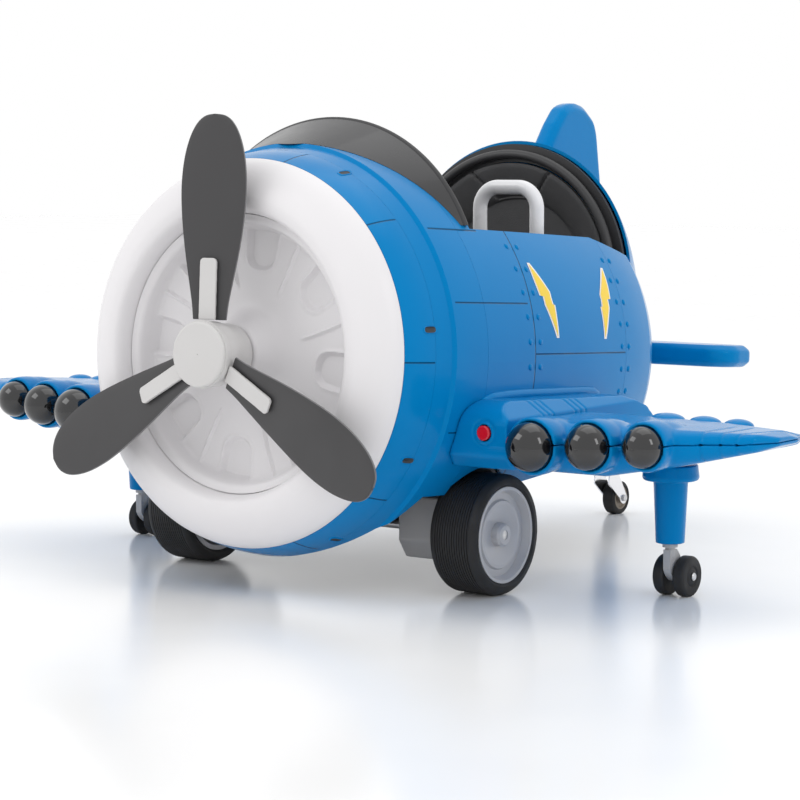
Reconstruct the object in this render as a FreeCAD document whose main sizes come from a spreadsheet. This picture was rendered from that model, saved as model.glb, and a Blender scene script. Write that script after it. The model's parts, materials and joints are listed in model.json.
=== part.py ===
import FreeCAD, Part
import math
import os

import Sketcher

# A child's electric ride-on airplane: round moulded fuselage with an open cockpit, two wings on
# castored legs, two driven main wheels, a tail caster and a free-turning propeller.
#
# Nose towards -Y, +X towards the airplane's own left, +Z up, floor at Z = 0.
# Along the toy, "station" is the distance in mm from a datum 134 mm ahead of the propeller hub.
# The fuselage axis is pitched nose-up, so everything moulded around it is drawn in a level frame
# (X across, Y = station, Z = height above the axis) and placed with the fuselage placement.

DOC = FreeCAD.newDocument("RideOnAirplane")
V = FreeCAD.Vector

SIZES = {
    # overall frame
    "datum": (638.0, "station that becomes Y = 0, the middle of the length"),
    "axis_rise": (312.7, "height of the fuselage axis at station 0"),
    "pitch": (3.1, "nose-up pitch of the fuselage, degrees"),
    "wall": (4.0, "wall of the moulded shells"),
    "seam": (0.4, "gap left at a seam between two mouldings"),
    # nose and cowl
    "lip_rad": (183.0, "front lip of the nose ring"),
    "lip_at": (187.0, "station of the front lip"),
    "dish_rad": (172.0, "inner wall of the nose ring"),
    "floor_at": (234.0, "station of the dish floor"),
    "boss_at": (200.0, "station of the boss the hub stands on"),
    "nose_rad": (240.0, "nose ring where it meets the cowl"),
    "nose_back": (227.0, "station where the nose ring meets the cowl"),
    "cowl_seam": (273.0, "station of the first cowl seam"),
    "cowl_seam_rad": (252.5, "cowl radius at that seam"),
    "step_at": (303.0, "station of the raised step round the cowl"),
    "step_rad": (262.6, "cowl radius behind the step"),
    "cowl_back": (365.0, "station where the cowl ends"),
    "cowl_back_rad": (266.0, "cowl radius there, the widest place"),
    # fuselage and tail
    "mid_back": (715.0, "station of the rear riveted seam"),
    "mid_back_rad": (252.5, "fuselage radius there"),
    "tail_shoulder": (800.0, "station where the tail starts to narrow"),
    "tail_shoulder_rad": (240.0, "radius there"),
    "tail_end": (1146.0, "station of the tail's end"),
    "arch_at": (820.0, "station of the arch behind the seat"),
    "arch_rise": (103.0, "height of the arch's centre above the axis"),
    "arch_rad": (193.4, "outer radius of the arch"),
    "rim_rise": (162.0, "height of the cockpit's side rim above the axis"),
    "rim_front": (396.0, "station of the front edge of the cockpit opening"),
    "tub_floor": (-95.0, "underside of the cockpit tub, from the axis"),
    # windscreen
    "visor_front": (296.0, "station of the visor's front edge"),
    "visor_back": (383.0, "station of the visor's rear arch"),
    "visor_front_rise": (103.9, "centre height of the visor's front circle"),
    "visor_front_rad": (156.6, "radius of the visor's front circle"),
    "visor_back_rise": (64.0, "centre height of the visor's rear circle"),
    "visor_back_rad": (234.0, "radius of the visor's rear circle"),
    "visor_bead": (5.0, "radius of the bead round the visor's edge"),
    # propeller
    "hub_front": (134.0, "station of the hub's front face"),
    "hub_rad": (41.3, "hub radius"),
    "barrel_rad": (37.5, "hub barrel radius"),
    "blade_at": (156.0, "station of the blades"),
    "blade_tip": (289.0, "blade tip radius"),
    "blade_wide": (44.5, "half of the blade's greatest width"),
    "blade_thick": (4.0, "blade thickness"),
    "blade_pitch": (12.0, "pitch of the blades, degrees"),
    "clip_wide": (22.0, "width of the clip on each blade"),
    "clip_reach": (116.0, "how far out the clip reaches"),
    "prop_shaft_rad": (5.0, "propeller shaft radius"),
    # wings
    "wing_bottom": (166.0, "height of the flat wing underside"),
    "wing_top": (227.5, "height of the wing's top"),
    "wing_root": (325.4, "where the wing panel starts, from the centre plane"),
    "root_in": (200.0, "inner face of the wing root block before it is cut to the fuselage"),
    "root_out": (325.0, "outer face of the wing root block"),
    "button_rad": (9.0, "horn button radius"),
    "button_travel": (3.0, "horn button travel"),
    # wing legs and casters
    "leg_across": (433.0, "leg axis from the centre plane"),
    "leg_at": (519.0, "station of the leg"),
    "leg_bottom": (68.0, "height of the leg's lower end"),
    "stem_rad": (6.0, "caster stem radius"),
    "caster_rad": (25.4, "wing caster wheel radius"),
    "caster_trail": (18.0, "how far the wing caster's axle trails its stem"),
    "axle_rad": (3.0, "caster axle radius"),
    # main wheels and drive
    "wheel_at": (411.0, "station of the main wheels"),
    "wheel_rad": (75.6, "main wheel radius"),
    "wheel_in": (196.0, "inner face of the main wheel from the centre plane"),
    "wheel_out": (264.0, "outer face of the main wheel"),
    "rim_rad": (60.0, "bead seat of the main wheel"),
    "shaft_rad": (6.0, "drive axle radius"),
    # tail caster
    "tail_leg_at": (1085.0, "station of the tail caster's swivel"),
    "tail_wheel_rad": (25.0, "tail caster wheel radius"),
    "tail_trail": (29.0, "how far the tail caster's axle trails its swivel"),
    # levers
    "lever_across": (132.0, "lever centre from the centre plane"),
    "lever_at": (611.0, "station of the lever pivot"),
    "lever_pivot": (235.0, "height of the lever pivot"),
    "lever_top": (502.0, "height of the lever's top bar"),
    "lever_half": (44.5, "half of the distance between the lever's legs"),
    "lever_tube": (9.5, "lever tube radius"),
    "lever_bend": (28.0, "bend radius of the lever tube"),
    "pivot_rad": (6.0, "lever pivot pin radius"),
    "running": (0.05, "radial running clearance of a shaft in its hole"),
}

sheet = DOC.addObject("Spreadsheet::Sheet", "Sizes")
for row, (alias, (value, meaning)) in enumerate(SIZES.items(), start=1):
    sheet.set(f"A{row}", meaning)
    sheet.set(f"B{row}", repr(value))
    sheet.setAlias(f"B{row}", alias)
DOC.recompute()


def number(size):
    """The plain number behind a size."""
    return size.value if isinstance(size, Dim) else float(size)


def text(size):
    """The spreadsheet expression behind a size."""
    return size.text if isinstance(size, Dim) else repr(float(size))


class Dim:
    """A number that keeps the spreadsheet expression it comes from."""

    def __init__(self, value, words):
        self.value = float(value)
        self.text = words

    def __add__(self, other):
        return Dim(self.value + number(other), f"({self.text} + {text(other)})")

    def __sub__(self, other):
        return Dim(self.value - number(other), f"({self.text} - {text(other)})")

    def __rsub__(self, other):
        return Dim(number(other) - self.value, f"({text(other)} - {self.text})")

    def __mul__(self, other):
        return Dim(self.value * number(other), f"({self.text} * {text(other)})")

    def __neg__(self):
        return Dim(-self.value, f"(0 - {self.text})")

    __radd__ = __add__
    __rmul__ = __mul__


class Sheet:
    """Every size of the sheet as an attribute."""


S = Sheet()
for alias, (value, _) in SIZES.items():
    setattr(S, alias, Dim(value, f"Sizes.{alias}"))


def bind(obj, path, size):
    """Drive one property of an object from the sheet."""
    if isinstance(size, Dim):
        obj.setExpression(path, size.text)


def put(obj, name, size):
    """Set one property of an object, bound to the sheet where the size comes from it."""
    setattr(obj, name, number(size))
    bind(obj, name, size)


def place(obj, x=0.0, y=0.0, z=0.0, turn=(0, 0, 1), angle=0.0):
    """Place an object; y is a station, turned into the row frame's Y."""
    along = y - S.datum
    obj.Placement = FreeCAD.Placement(
        V(number(x), number(along), number(z)),
        FreeCAD.Rotation(V(*turn), number(angle)),
    )
    bind(obj, "Placement.Base.x", x)
    bind(obj, "Placement.Base.y", along)
    bind(obj, "Placement.Base.z", z)
    bind(obj, "Placement.Rotation.Angle", angle)
    return obj


def on_fuselage(obj):
    """Place an object drawn about the fuselage axis on the pitched fuselage."""
    return place(obj, z=S.axis_rise, turn=(-1, 0, 0), angle=S.pitch)


def body(name):
    return DOC.addObject("PartDesign::Body", name)


def attach(owner, plane, at):
    """A new sketch on one of the body's own origin planes, moved along the plane's normal."""
    sketch = owner.newObject("Sketcher::SketchObject", "Sketch")
    support = [item for item in owner.Origin.OriginFeatures if item.Role == plane][0]
    sketch.AttachmentSupport = (support, [""])
    sketch.MapMode = "FlatFace"
    sketch.AttachmentOffset = FreeCAD.Placement(V(0, 0, number(at)), FreeCAD.Rotation())
    bind(sketch, "AttachmentOffset.Base.z", at)
    return sketch


def fix_point(sketch, index, end, x, y):
    """Tie one end of a sketch edge to its two coordinates."""
    for kind, axis, size in (("DistanceX", -2, x), ("DistanceY", -1, y)):
        if number(size) == 0:
            sketch.addConstraint(Sketcher.Constraint("PointOnObject", index, end, axis))
            continue
        place_in_list = sketch.addConstraint(
            Sketcher.Constraint(kind, -1, 1, index, end, number(size))
        )
        bind(sketch, f"Constraints[{place_in_list}]", size)


def fix_radius(sketch, index, size):
    place_in_list = sketch.addConstraint(Sketcher.Constraint("Radius", index, number(size)))
    bind(sketch, f"Constraints[{place_in_list}]", size)


def arc_between(start, end, bend):
    """Arc of radius |bend|; its centre is left of the way from start to end if bend > 0."""
    half = (end - start) * 0.5
    left = V(-half.y, half.x, 0).normalize()
    depth = math.sqrt(max(bend * bend - half.Length ** 2, 0.0))
    centre = start + half + left * math.copysign(depth, bend)
    first, last = (start, end) if bend > 0 else (end, start)
    angle0 = math.atan2(first.y - centre.y, first.x - centre.x)
    angle1 = math.atan2(last.y - centre.y, last.x - centre.x)
    if angle1 <= angle0:
        angle1 += 2 * math.pi
    circle = Part.Circle(centre, V(0, 0, 1), abs(bend))
    return Part.ArcOfCircle(circle, angle0, angle1)


def outline(owner, plane, points, at=0.0):
    """Closed sketch through points (x, y), or (x, y, bend) to reach a point along an arc."""
    sketch = attach(owner, plane, at)
    spots = [V(number(point[0]), number(point[1]), 0) for point in points]
    ends = []
    for index, start in enumerate(spots):
        following = (index + 1) % len(points)
        bend = points[following][2] if len(points[following]) == 3 else None
        if bend is None:
            sketch.addGeometry(Part.LineSegment(start, spots[following]), False)
            ends.append((1, 2))
        else:
            sketch.addGeometry(arc_between(start, spots[following], number(bend)), False)
            ends.append((1, 2) if number(bend) > 0 else (2, 1))
            fix_radius(sketch, index, bend if number(bend) > 0 else -bend)
    for index, point in enumerate(points):
        previous = (index - 1) % len(points)
        sketch.addConstraint(
            Sketcher.Constraint("Coincident", previous, ends[previous][1], index, ends[index][0])
        )
        fix_point(sketch, index, ends[index][0], point[0], point[1])
    return sketch


def rings(owner, plane, circles, at=0.0):
    """Sketch of circles (x, y, radius)."""
    sketch = attach(owner, plane, at)
    for index, (x, y, radius) in enumerate(circles):
        circle = Part.Circle(V(number(x), number(y), 0), V(0, 0, 1), number(radius))
        sketch.addGeometry(circle, False)
        fix_radius(sketch, index, radius)
        fix_point(sketch, index, 3, x, y)
    return sketch


def pad(owner, sketch, length, side="One side", back=False):
    feature = owner.newObject("PartDesign::Pad", "Pad")
    feature.Profile = sketch
    put(feature, "Length", length)
    feature.SideType = side
    feature.Reversed = back
    owner.Tip = feature
    return feature


def pocket(owner, sketch, length, side="One side", back=False):
    """Cut a sketch out of the body, and make sure that it did cut."""
    DOC.recompute()
    before = owner.Shape.Volume
    feature = owner.newObject("PartDesign::Pocket", "Pocket")
    feature.Profile = sketch
    put(feature, "Length", length)
    feature.SideType = side
    feature.Reversed = back
    owner.Tip = feature
    DOC.recompute()
    if owner.Shape.Volume > before - 0.5:
        raise RuntimeError(f"{owner.Name}: a pocket cuts nothing")
    return feature


def polar(owner, feature, sketch, count):
    """Repeat a feature about the normal of its sketch."""
    pattern = owner.newObject("PartDesign::PolarPattern", "PolarPattern")
    pattern.Originals = [feature]
    pattern.Axis = (sketch, ["N_Axis"])
    pattern.Angle = 360
    pattern.Occurrences = int(number(count))
    bind(pattern, "Occurrences", count)
    owner.Tip = pattern
    return pattern


def spin(owner, sketch, axis="V_Axis"):
    """Turn a sketch once round one of its own axes."""
    feature = owner.newObject("PartDesign::Revolution", "Revolution")
    feature.Profile = sketch
    feature.ReferenceAxis = (sketch, [axis])
    feature.Angle = 360
    owner.Tip = feature
    return feature


def turned(name, points, axis="V_Axis"):
    """Body of revolution; V_Axis turns about Y, H_Axis about X."""
    owner = body(name)
    spin(owner, outline(owner, "XY_Plane", points), axis)
    return owner


def cut(base, *tools):
    for tool in tools:
        result = DOC.addObject("Part::Cut", "Cut")
        result.Base = base
        result.Tool = tool
        base = result
    return base


def common(base, tool):
    result = DOC.addObject("Part::Common", "Common")
    result.Base = base
    result.Tool = tool
    return result


def fuse(*parts):
    result = DOC.addObject("Part::MultiFuse", "Fuse")
    result.Shapes = list(parts)
    result.Refine = True
    return result


def mirror(source):
    """The right-hand twin of a left-hand piece."""
    result = DOC.addObject("Part::Mirroring", "Mirror")
    result.Source = source
    result.Normal = V(1, 0, 0)
    return result


def together(*parts):
    """Several separate solids in one piece group."""
    result = DOC.addObject("Part::Compound", "Group")
    result.Links = list(parts)
    return result


def slab(name, low, high):
    """Rectangular block between two corners."""
    owner = body(name)
    base = outline(owner, "XY_Plane", [
        (low[0], low[1]),
        (high[0], low[1]),
        (high[0], high[1]),
        (low[0], high[1]),
    ], at=low[2])
    pad(owner, base, high[2] - low[2])
    return owner


PIECES = {}


def piece(label, obj):
    """Register one finished sub-part under the name it is exported with."""
    obj.Label = label
    PIECES[label] = obj
    return obj


# ---------------------------------------------------------------- nose and cowl

W = S.wall
nose_ring = turned("NoseRing", [
    (S.lip_rad, S.lip_at),
    (S.lip_rad + 13, S.lip_at),
    (S.nose_rad, S.nose_back, 44.2),
    (S.nose_rad - 4.5, S.nose_back),
    (S.nose_rad - 4.5, S.nose_back + 13),
    (S.nose_rad - 8.5, S.nose_back + 13),
    (S.nose_rad - 8.5, S.nose_back + 3),
    (S.lip_rad + 12, S.lip_at + W, -40.0),
    (S.lip_rad + 4, S.lip_at + W),
    (S.lip_rad - 1, S.lip_at + 9),
    (S.dish_rad + 5.5, S.lip_at + 17),
    (S.dish_rad + 5.5, S.floor_at + 6),
    (S.dish_rad, S.floor_at + 6),
    (S.dish_rad, S.lip_at + 15),
    (S.lip_rad - 6, S.lip_at + 5),
])
piece("nose_ring", on_fuselage(nose_ring))

shaft_hole = S.prop_shaft_rad + S.running
nose_dish = turned("NoseDish", [
    (shaft_hole, S.boss_at),
    (34, S.boss_at),
    (40, S.boss_at + 6),
    (56, S.floor_at - 4),
    (64, S.floor_at),
    (150, S.floor_at),
    (160, S.floor_at - 6),
    (167, S.floor_at - 20),
    (S.dish_rad - 0.5, S.floor_at - 28),
    (S.dish_rad - 0.5, S.floor_at - 12),
    (168, S.floor_at),
    (158, S.floor_at + 6),
    (60, S.floor_at + 6),
    (50, S.floor_at),
    (34, S.boss_at + 12),
    (shaft_hole, S.boss_at + 12),
])
petal = outline(nose_dish, "XZ_Plane", [
    (-13, 76),
    (-38, 138, 300.0),
    (38, 138, -143.0),
    (13, 76, 300.0),
], at=-S.floor_at)
petal_cut = pocket(nose_dish, petal, 2.5)
polar(nose_dish, petal_cut, petal, 8)
piece("nose_dish", on_fuselage(nose_dish))

cowl_front = turned("CowlFront", [
    (S.nose_rad, S.nose_back + S.seam),
    (S.cowl_seam_rad, S.cowl_seam, 180.0),
    (S.cowl_seam_rad - W, S.cowl_seam),
    (S.nose_rad - W, S.nose_back + S.seam, -176.0),
])
piece("cowl_front", on_fuselage(cowl_front))

# ---------------------------------------------------------------- cutters shared by the shells

# Everything above the cockpit rim, from the windscreen's foot back to the arch.
opening = body("Opening")
pad(opening, outline(opening, "YZ_Plane", [
    (S.rim_front, S.rim_rise),
    (S.mid_back - 15, S.rim_rise - 2),
    (S.tail_shoulder, S.rim_rise - 24),
    (S.arch_at - 0.5, S.rim_rise - 28),
    (S.arch_at - 0.5, 400),
    (S.rim_front, 400),
]), 620, side="Symmetric")
on_fuselage(opening)

# Everything under the underbody line, which climbs steeply behind the nose.
BELLY = [(700, -135), (850, -117), (1000, -100), (1160, -80)]
underside = body("Underside")
pad(underside, outline(underside, "YZ_Plane", [
    (278, -246), (322, -166), (466, -166), *BELLY, (1160, -400), (278, -400),
]), 620, side="Symmetric")
on_fuselage(underside)

wheel_arch = DOC.addObject("Part::Cylinder", "WheelArch")
put(wheel_arch, "Radius", S.wheel_rad + 8)
put(wheel_arch, "Height", 140)
place(wheel_arch, x=S.wheel_in - 8, y=S.wheel_at, z=S.wheel_rad, turn=(0, 1, 0), angle=90)
wheel_arches = together(wheel_arch, mirror(wheel_arch))

left_half = on_fuselage(slab("LeftHalf", (S.seam * 0.5, 200, -320), (320, 1200, 320)))

# ---------------------------------------------------------------- fuselage shells

cowl_rear = turned("CowlRear", [
    (S.cowl_seam_rad, S.cowl_seam + S.seam),
    (S.step_rad - 4.6, S.step_at - 4),
    (S.step_rad, S.step_at),
    (S.cowl_back_rad, S.cowl_back, 900.0),
    (S.cowl_back_rad - W, S.cowl_back),
    (S.step_rad - W, S.step_at + 3, -896.0),
    (S.step_rad - 8.6, S.step_at - 2),
    (S.cowl_seam_rad - W, S.cowl_seam + S.seam),
])
on_fuselage(cowl_rear)
piece("cowl_rear", cut(cowl_rear, underside))

mid_shell = on_fuselage(turned("MidShell", [
    (S.cowl_back_rad, S.cowl_back + S.seam),
    (S.mid_back_rad, S.mid_back, 4000.0),
    (S.mid_back_rad - W, S.mid_back),
    (S.cowl_back_rad - W, S.cowl_back + S.seam, -3996.0),
]))
fuselage_left = common(cut(mid_shell, opening, underside, wheel_arches), left_half)
piece("fuselage_left", fuselage_left)
piece("fuselage_right", mirror(fuselage_left))


def tail_cone(name, inset, front):
    """Solid of the tail; inset is how far inside the outer skin it lies."""
    return on_fuselage(turned(name, [
        (0, front),
        (S.mid_back_rad - inset, front),
        (S.tail_shoulder_rad - inset, S.tail_shoulder, 700.0),
        (178 - inset, 900, 420.0),
        (74 - inset, 1080, 3000.0),
        (0, S.tail_end - inset, 90.0),
    ]))


def deck(name, inset, front):
    """Solid of the fairing that runs from the seat arch down to the tail."""
    owner = body(name)
    circles = [
        (front, S.arch_rise, S.arch_rad),
        (900, 80, 158),
        (980, 50, 118),
        (1050, 22, 84),
        (1110, 2, 48),
    ]
    sketches = [
        rings(owner, "XZ_Plane", [(0, rise, radius - inset)], at=0 - station)
        for station, rise, radius in circles
    ]
    feature = owner.newObject("PartDesign::AdditiveLoft", "Loft")
    feature.Profile = sketches[0]
    feature.Sections = sketches[1:]
    owner.Tip = feature
    return on_fuselage(owner)


tail_solid = fuse(
    tail_cone("TailOuter", 0, S.mid_back + S.seam),
    deck("DeckOuter", 0, S.arch_at),
)
tail_hollow = fuse(
    tail_cone("TailInner", W, S.mid_back - 5),
    deck("DeckInner", W, S.arch_at - 1),
)
piece("tail_shell", cut(tail_solid, tail_hollow, opening, underside))

# The outline that everything inside the shells must stay within, and what is bolted to the
# outside must stay clear of.
inner_room = on_fuselage(turned("InnerRoom", [
    (0, 279.5),
    (S.cowl_seam_rad - 7, 279.5),
    (S.step_rad - 12, S.step_at - 4),
    (S.cowl_back_rad - W - 1.4, 374),
    (S.mid_back_rad - W - 1, S.mid_back, 4000.0),
    (S.tail_shoulder_rad - W - 1, S.tail_shoulder, 700.0),
    (178 - W - 1, 900, 420.0),
    (74 - W - 1, 1080, 3000.0),
    (0, 1080),
]))
outer_room = on_fuselage(turned("OuterRoom", [
    (0, S.nose_back),
    (S.nose_rad + 0.4, S.nose_back),
    (S.cowl_seam_rad + 0.5, S.cowl_seam, 180.0),
    (S.step_rad + 0.4, S.step_at),
    (S.cowl_back_rad + 0.4, S.cowl_back, 900.0),
    (S.mid_back_rad + 0.4, S.mid_back, 4000.0),
    (S.tail_shoulder_rad + 0.4, S.tail_shoulder, 700.0),
    (0, 810),
]))
tub_cut = on_fuselage(slab("TubCut", (-320, 403, S.tub_floor + 3), (320, 800, 400)))
tub_room = on_fuselage(slab("TubRoom", (-320, 400, S.tub_floor), (320, 796, S.rim_rise - 30)))
tub_core = on_fuselage(turned("TubCore", [
    (0, 380),
    (S.cowl_back_rad - W - 5, 380),
    (S.mid_back_rad - W - 5, S.mid_back, 4000.0),
    (S.tail_shoulder_rad - W - 5, S.tail_shoulder, 700.0),
    (0, 805),
]))
tub_solid = common(inner_room, tub_room)
piece("cockpit_tub", cut(tub_solid, common(tub_core, tub_cut)))

# The underbody: a skin under the whole fuselage with a deep tray between the gearboxes.
belly_strip = body("BellyStrip")
pad(belly_strip, outline(belly_strip, "YZ_Plane", [
    (280, -242), (322, -165.6), (466, -165.6), (700, -134.6), (850, -116.6), (1000, -99.6),
    (1062, -91.6), (1062, -87.6), (1000, -95.6), (850, -112.6), (700, -130.6), (466, -161.6),
    (319, -161.6), (280, -235),
]), 600, side="Symmetric")
on_fuselage(belly_strip)
tray_outside = on_fuselage(slab("TrayOutside", (-118, 300, -206), (118, 466, -162)))
tray_inside = on_fuselage(slab("TrayInside", (-114, 304, -202), (114, 462, -150)))
belly_pan = cut(fuse(common(belly_strip, inner_room), tray_outside), tray_inside, wheel_arches)
piece("belly_pan", belly_pan)

# Liners that close the fuselage over the main wheels.
liner = body("Liner")
pad(liner, rings(liner, "YZ_Plane", [(S.wheel_at, S.wheel_rad, S.wheel_rad + 7.6)], at=188.4), 90)
liner_room = rings(liner, "YZ_Plane", [(S.wheel_at, S.wheel_rad, S.wheel_rad + 4.4)], at=191.4)
pocket(liner, liner_room, 100, back=True)
place(liner)
under_skin = on_fuselage(slab("UnderSkin", (0, 250, -330), (330, 560, -161.2)))
wheel_well = cut(common(liner, inner_room), under_skin)
piece("wheel_wells", together(wheel_well, mirror(wheel_well)))

# ---------------------------------------------------------------- seat

cushion_low = S.tub_floor + 3.3
seat_cushion = body("SeatCushion")
pad(seat_cushion, outline(seat_cushion, "YZ_Plane", [
    (640, cushion_low),
    (784, cushion_low),
    (784, cushion_low + 48),
    (768, cushion_low + 63, 16.0),
    (658, cushion_low + 63),
    (640, cushion_low + 45, 18.2),
]), 276, side="Symmetric")
piece("seat_cushion", on_fuselage(seat_cushion))

# A shallow moulded dish, turned about the arch's own centre line.
seat_back = turned("SeatBack", [
    (0, 832),
    (50, 832),
    (118, 826),
    (150, 812, 90.0),
    (162, 803, 60.0),
    (162, 809),
    (150, 819, -70.0),
    (118, 834, -100.0),
    (50, 840),
    (0, 840),
])


def at_arch(obj):
    """Place something drawn about the arch's centre line."""
    pitch = math.radians(number(S.pitch))
    along = S.arch_rise * math.sin(pitch)
    height = S.arch_rise * math.cos(pitch) + S.axis_rise
    return place(obj, y=along, z=height, turn=(-1, 0, 0), angle=S.pitch)



piece("seat_back", at_arch(seat_back))

bulkhead_ring = body("BulkheadRing")
pad(bulkhead_ring, rings(bulkhead_ring, "XZ_Plane", [(0, 0, 188.4), (0, 0, 163.5)], at=-815), 5)
below_rim = outline(bulkhead_ring, "XZ_Plane", [
    (-200, -200), (200, -200), (200, 26), (-200, 26),
], at=-800)
pocket(bulkhead_ring, below_rim, 30)
piece("bulkhead_ring", at_arch(bulkhead_ring))

hoop_bead = body("HoopBead")
spin(hoop_bead, rings(hoop_bead, "XY_Plane", [(173.5, 800, 6.4)]))
below_rim = outline(hoop_bead, "XZ_Plane", [
    (-200, -200), (200, -200), (200, 26), (-200, 26),
], at=-780)
pocket(hoop_bead, below_rim, 40)
piece("hoop_bead", at_arch(hoop_bead))


def strap(side):
    """One flat shoulder strap lying in front of the seat back."""
    owner = body("Strap")
    pad(owner, outline(owner, "XZ_Plane", [
        (side * 88, 84), (side * 116, 78), (side * 84, -120), (side * 56, -114),
    ], at=-797), 3)
    return at_arch(owner)


piece("harness_straps", together(strap(1), strap(-1)))

# ---------------------------------------------------------------- windscreen and dash


def visor(name, inset, extra):
    """Solid between the visor's front and rear circles; inset is measured inwards."""
    owner = body(name)
    front = rings(owner, "XZ_Plane", [
        (0, S.visor_front_rise, S.visor_front_rad - inset),
    ], at=extra - S.visor_front)
    back = rings(owner, "XZ_Plane", [
        (0, S.visor_back_rise, S.visor_back_rad - inset),
    ], at=0 - extra - S.visor_back)
    feature = owner.newObject("PartDesign::AdditiveLoft", "Loft")
    feature.Profile = front
    feature.Sections = [back]
    feature.Ruled = True
    owner.Tip = feature
    return on_fuselage(owner)


visor_end = on_fuselage(slab("VisorEnd", (-300, 280, -60), (300, 400, S.rim_rise + 4)))
windscreen = cut(visor("VisorOuter", 0, 0), visor("VisorInner", W, 1), outer_room, visor_end)
piece("windscreen", windscreen)

visor_bead = body("VisorBead")
spin(visor_bead, rings(visor_bead, "XY_Plane", [
    (S.visor_back_rad - 2, S.visor_back + S.visor_bead + 0.2, S.visor_bead),
]))
pitch = math.radians(number(S.pitch))
place(
    visor_bead,
    y=S.visor_back_rise * math.sin(pitch),
    z=S.visor_back_rise * math.cos(pitch) + S.axis_rise,
    turn=(-1, 0, 0),
    angle=S.pitch,
)
piece("windscreen_trim", cut(visor_bead, outer_room, visor_end))

dash_blank = on_fuselage(slab("DashBlank", (-300, 386, 40), (300, 391, 300)))
switch_hole = on_fuselage(slab("SwitchHole", (-12.3, 384, 99), (12.3, 393, 131)))
pins = {}
for name, radius, half in (("SwitchPin", 1.5, 15), ("SwitchPinHole", 1.5 + S.running, 15.5)):
    pins[name] = body(name)
    pad(pins[name], rings(pins[name], "YZ_Plane", [(388.5, 115, radius)], at=-half), 2 * half)
    on_fuselage(pins[name])
dash = cut(common(dash_blank, inner_room), switch_hole, pins["SwitchPinHole"])
piece("dash_panel", dash)
rocker = on_fuselage(slab("PowerSwitch", (-12, 384.5, 100), (12, 392.5, 130)))
piece("power_switch", fuse(rocker, pins["SwitchPin"]))

# ---------------------------------------------------------------- control levers

lever_rise = S.lever_top - S.lever_pivot
lever = body("Lever")
lever_path = attach(lever, "XZ_Plane", 0)
half, bend = S.lever_half, S.lever_bend
corner = [
    V(-number(half), 0, 0),
    V(-number(half), number(lever_rise - bend), 0),
    V(number(bend - half), number(lever_rise), 0),
    V(number(half - bend), number(lever_rise), 0),
    V(number(half), number(lever_rise - bend), 0),
    V(number(half), 0, 0),
]
lever_path.addGeometry(Part.LineSegment(corner[0], corner[1]), False)
lever_path.addGeometry(arc_between(corner[1], corner[2], -number(bend)), False)
lever_path.addGeometry(Part.LineSegment(corner[2], corner[3]), False)
lever_path.addGeometry(arc_between(corner[3], corner[4], -number(bend)), False)
lever_path.addGeometry(Part.LineSegment(corner[4], corner[5]), False)
for joint in ((0, 2, 1, 2), (1, 1, 2, 1), (2, 2, 3, 2), (3, 1, 4, 1)):
    lever_path.addConstraint(Sketcher.Constraint("Coincident", *joint))
fix_point(lever_path, 0, 1, 0 - half, 0.0)
fix_point(lever_path, 0, 2, 0 - half, lever_rise - bend)
fix_point(lever_path, 2, 1, bend - half, lever_rise)
fix_point(lever_path, 2, 2, half - bend, lever_rise)
fix_point(lever_path, 4, 1, half, lever_rise - bend)
fix_point(lever_path, 4, 2, half, 0.0)
fix_radius(lever_path, 1, bend)
fix_radius(lever_path, 3, bend)
tube = rings(lever, "XY_Plane", [(0 - half, 0, S.lever_tube)])
sweep = lever.newObject("PartDesign::AdditivePipe", "Pipe")
sweep.Profile = tube
sweep.Spine = lever_path
lever.Tip = sweep
barrel = rings(lever, "YZ_Plane", [(0, 0, 15)], at=-55)
pad(lever, barrel, 110)
pivot_hole = rings(lever, "YZ_Plane", [(0, 0, S.pivot_rad + S.running)], at=-56)
pocket(lever, pivot_hole, 112, back=True)
left_lever = place(lever, x=S.lever_across, y=S.lever_at, z=S.lever_pivot)
piece("left_lever", left_lever)
piece("right_lever", mirror(left_lever))

bracket_foot = slab("BracketFoot", (-66, -22, -45.5), (66, 22, -40.5))
cheek = [(-20, -41), (20, -41), (12, 12), (-12, 12)]
cheeks = []
for low in (-61, 56):
    plate = body("Cheek")
    pad(plate, outline(plate, "YZ_Plane", cheek, at=low), 5)
    cheeks.append(plate)
pin = body("PivotPin")
pad(pin, rings(pin, "YZ_Plane", [(0, 0, S.pivot_rad)], at=-64), 128)
lever_pivot = fuse(bracket_foot, *cheeks, pin)
place(lever_pivot, x=S.lever_across, y=S.lever_at, z=S.lever_pivot)
piece("lever_pivots", together(lever_pivot, mirror(lever_pivot)))

# ---------------------------------------------------------------- wings

# Each wing section: distance from the centre plane, leading and trailing edge stations,
# underside and top heights.
WING_SECTIONS = [
    (S.wing_root, 325, 600, S.wing_bottom + 2, S.wing_top + 0.5),
    (433, 338, 588, S.wing_bottom, S.wing_top),
    (530, 352, 566, S.wing_bottom + 18, S.wing_top - 0.5),
    (616, 384, 512, S.wing_bottom + 38, S.wing_top - 2.5),
    (634, 414, 466, S.wing_bottom + 45, S.wing_top - 7),
]


def wing_section(owner, section):
    across, leading, trailing, low, high = section
    chord = trailing - leading
    thick = number(high) - number(low)
    nose = leading + 0.46 * thick
    middle = (number(high) + number(low)) / 2
    return outline(owner, "YZ_Plane", [
        (leading, middle, 0.5 * thick),
        (nose, low, 0.5 * thick),
        (trailing - 0.12 * chord, low),
        (trailing, low + 0.28 * thick),
        (trailing - 3, low + 0.52 * thick),
        (leading + 0.6 * chord, high - 1),
        (nose, high),
    ], at=across)


wing_panel = body("WingPanel")
sections = [wing_section(wing_panel, section) for section in WING_SECTIONS]
wing_loft = wing_panel.newObject("PartDesign::AdditiveLoft", "Loft")
wing_loft.Profile = sections[0]
wing_loft.Sections = sections[1:]
wing_loft.Ruled = True
wing_panel.Tip = wing_loft
place(wing_panel)

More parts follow.
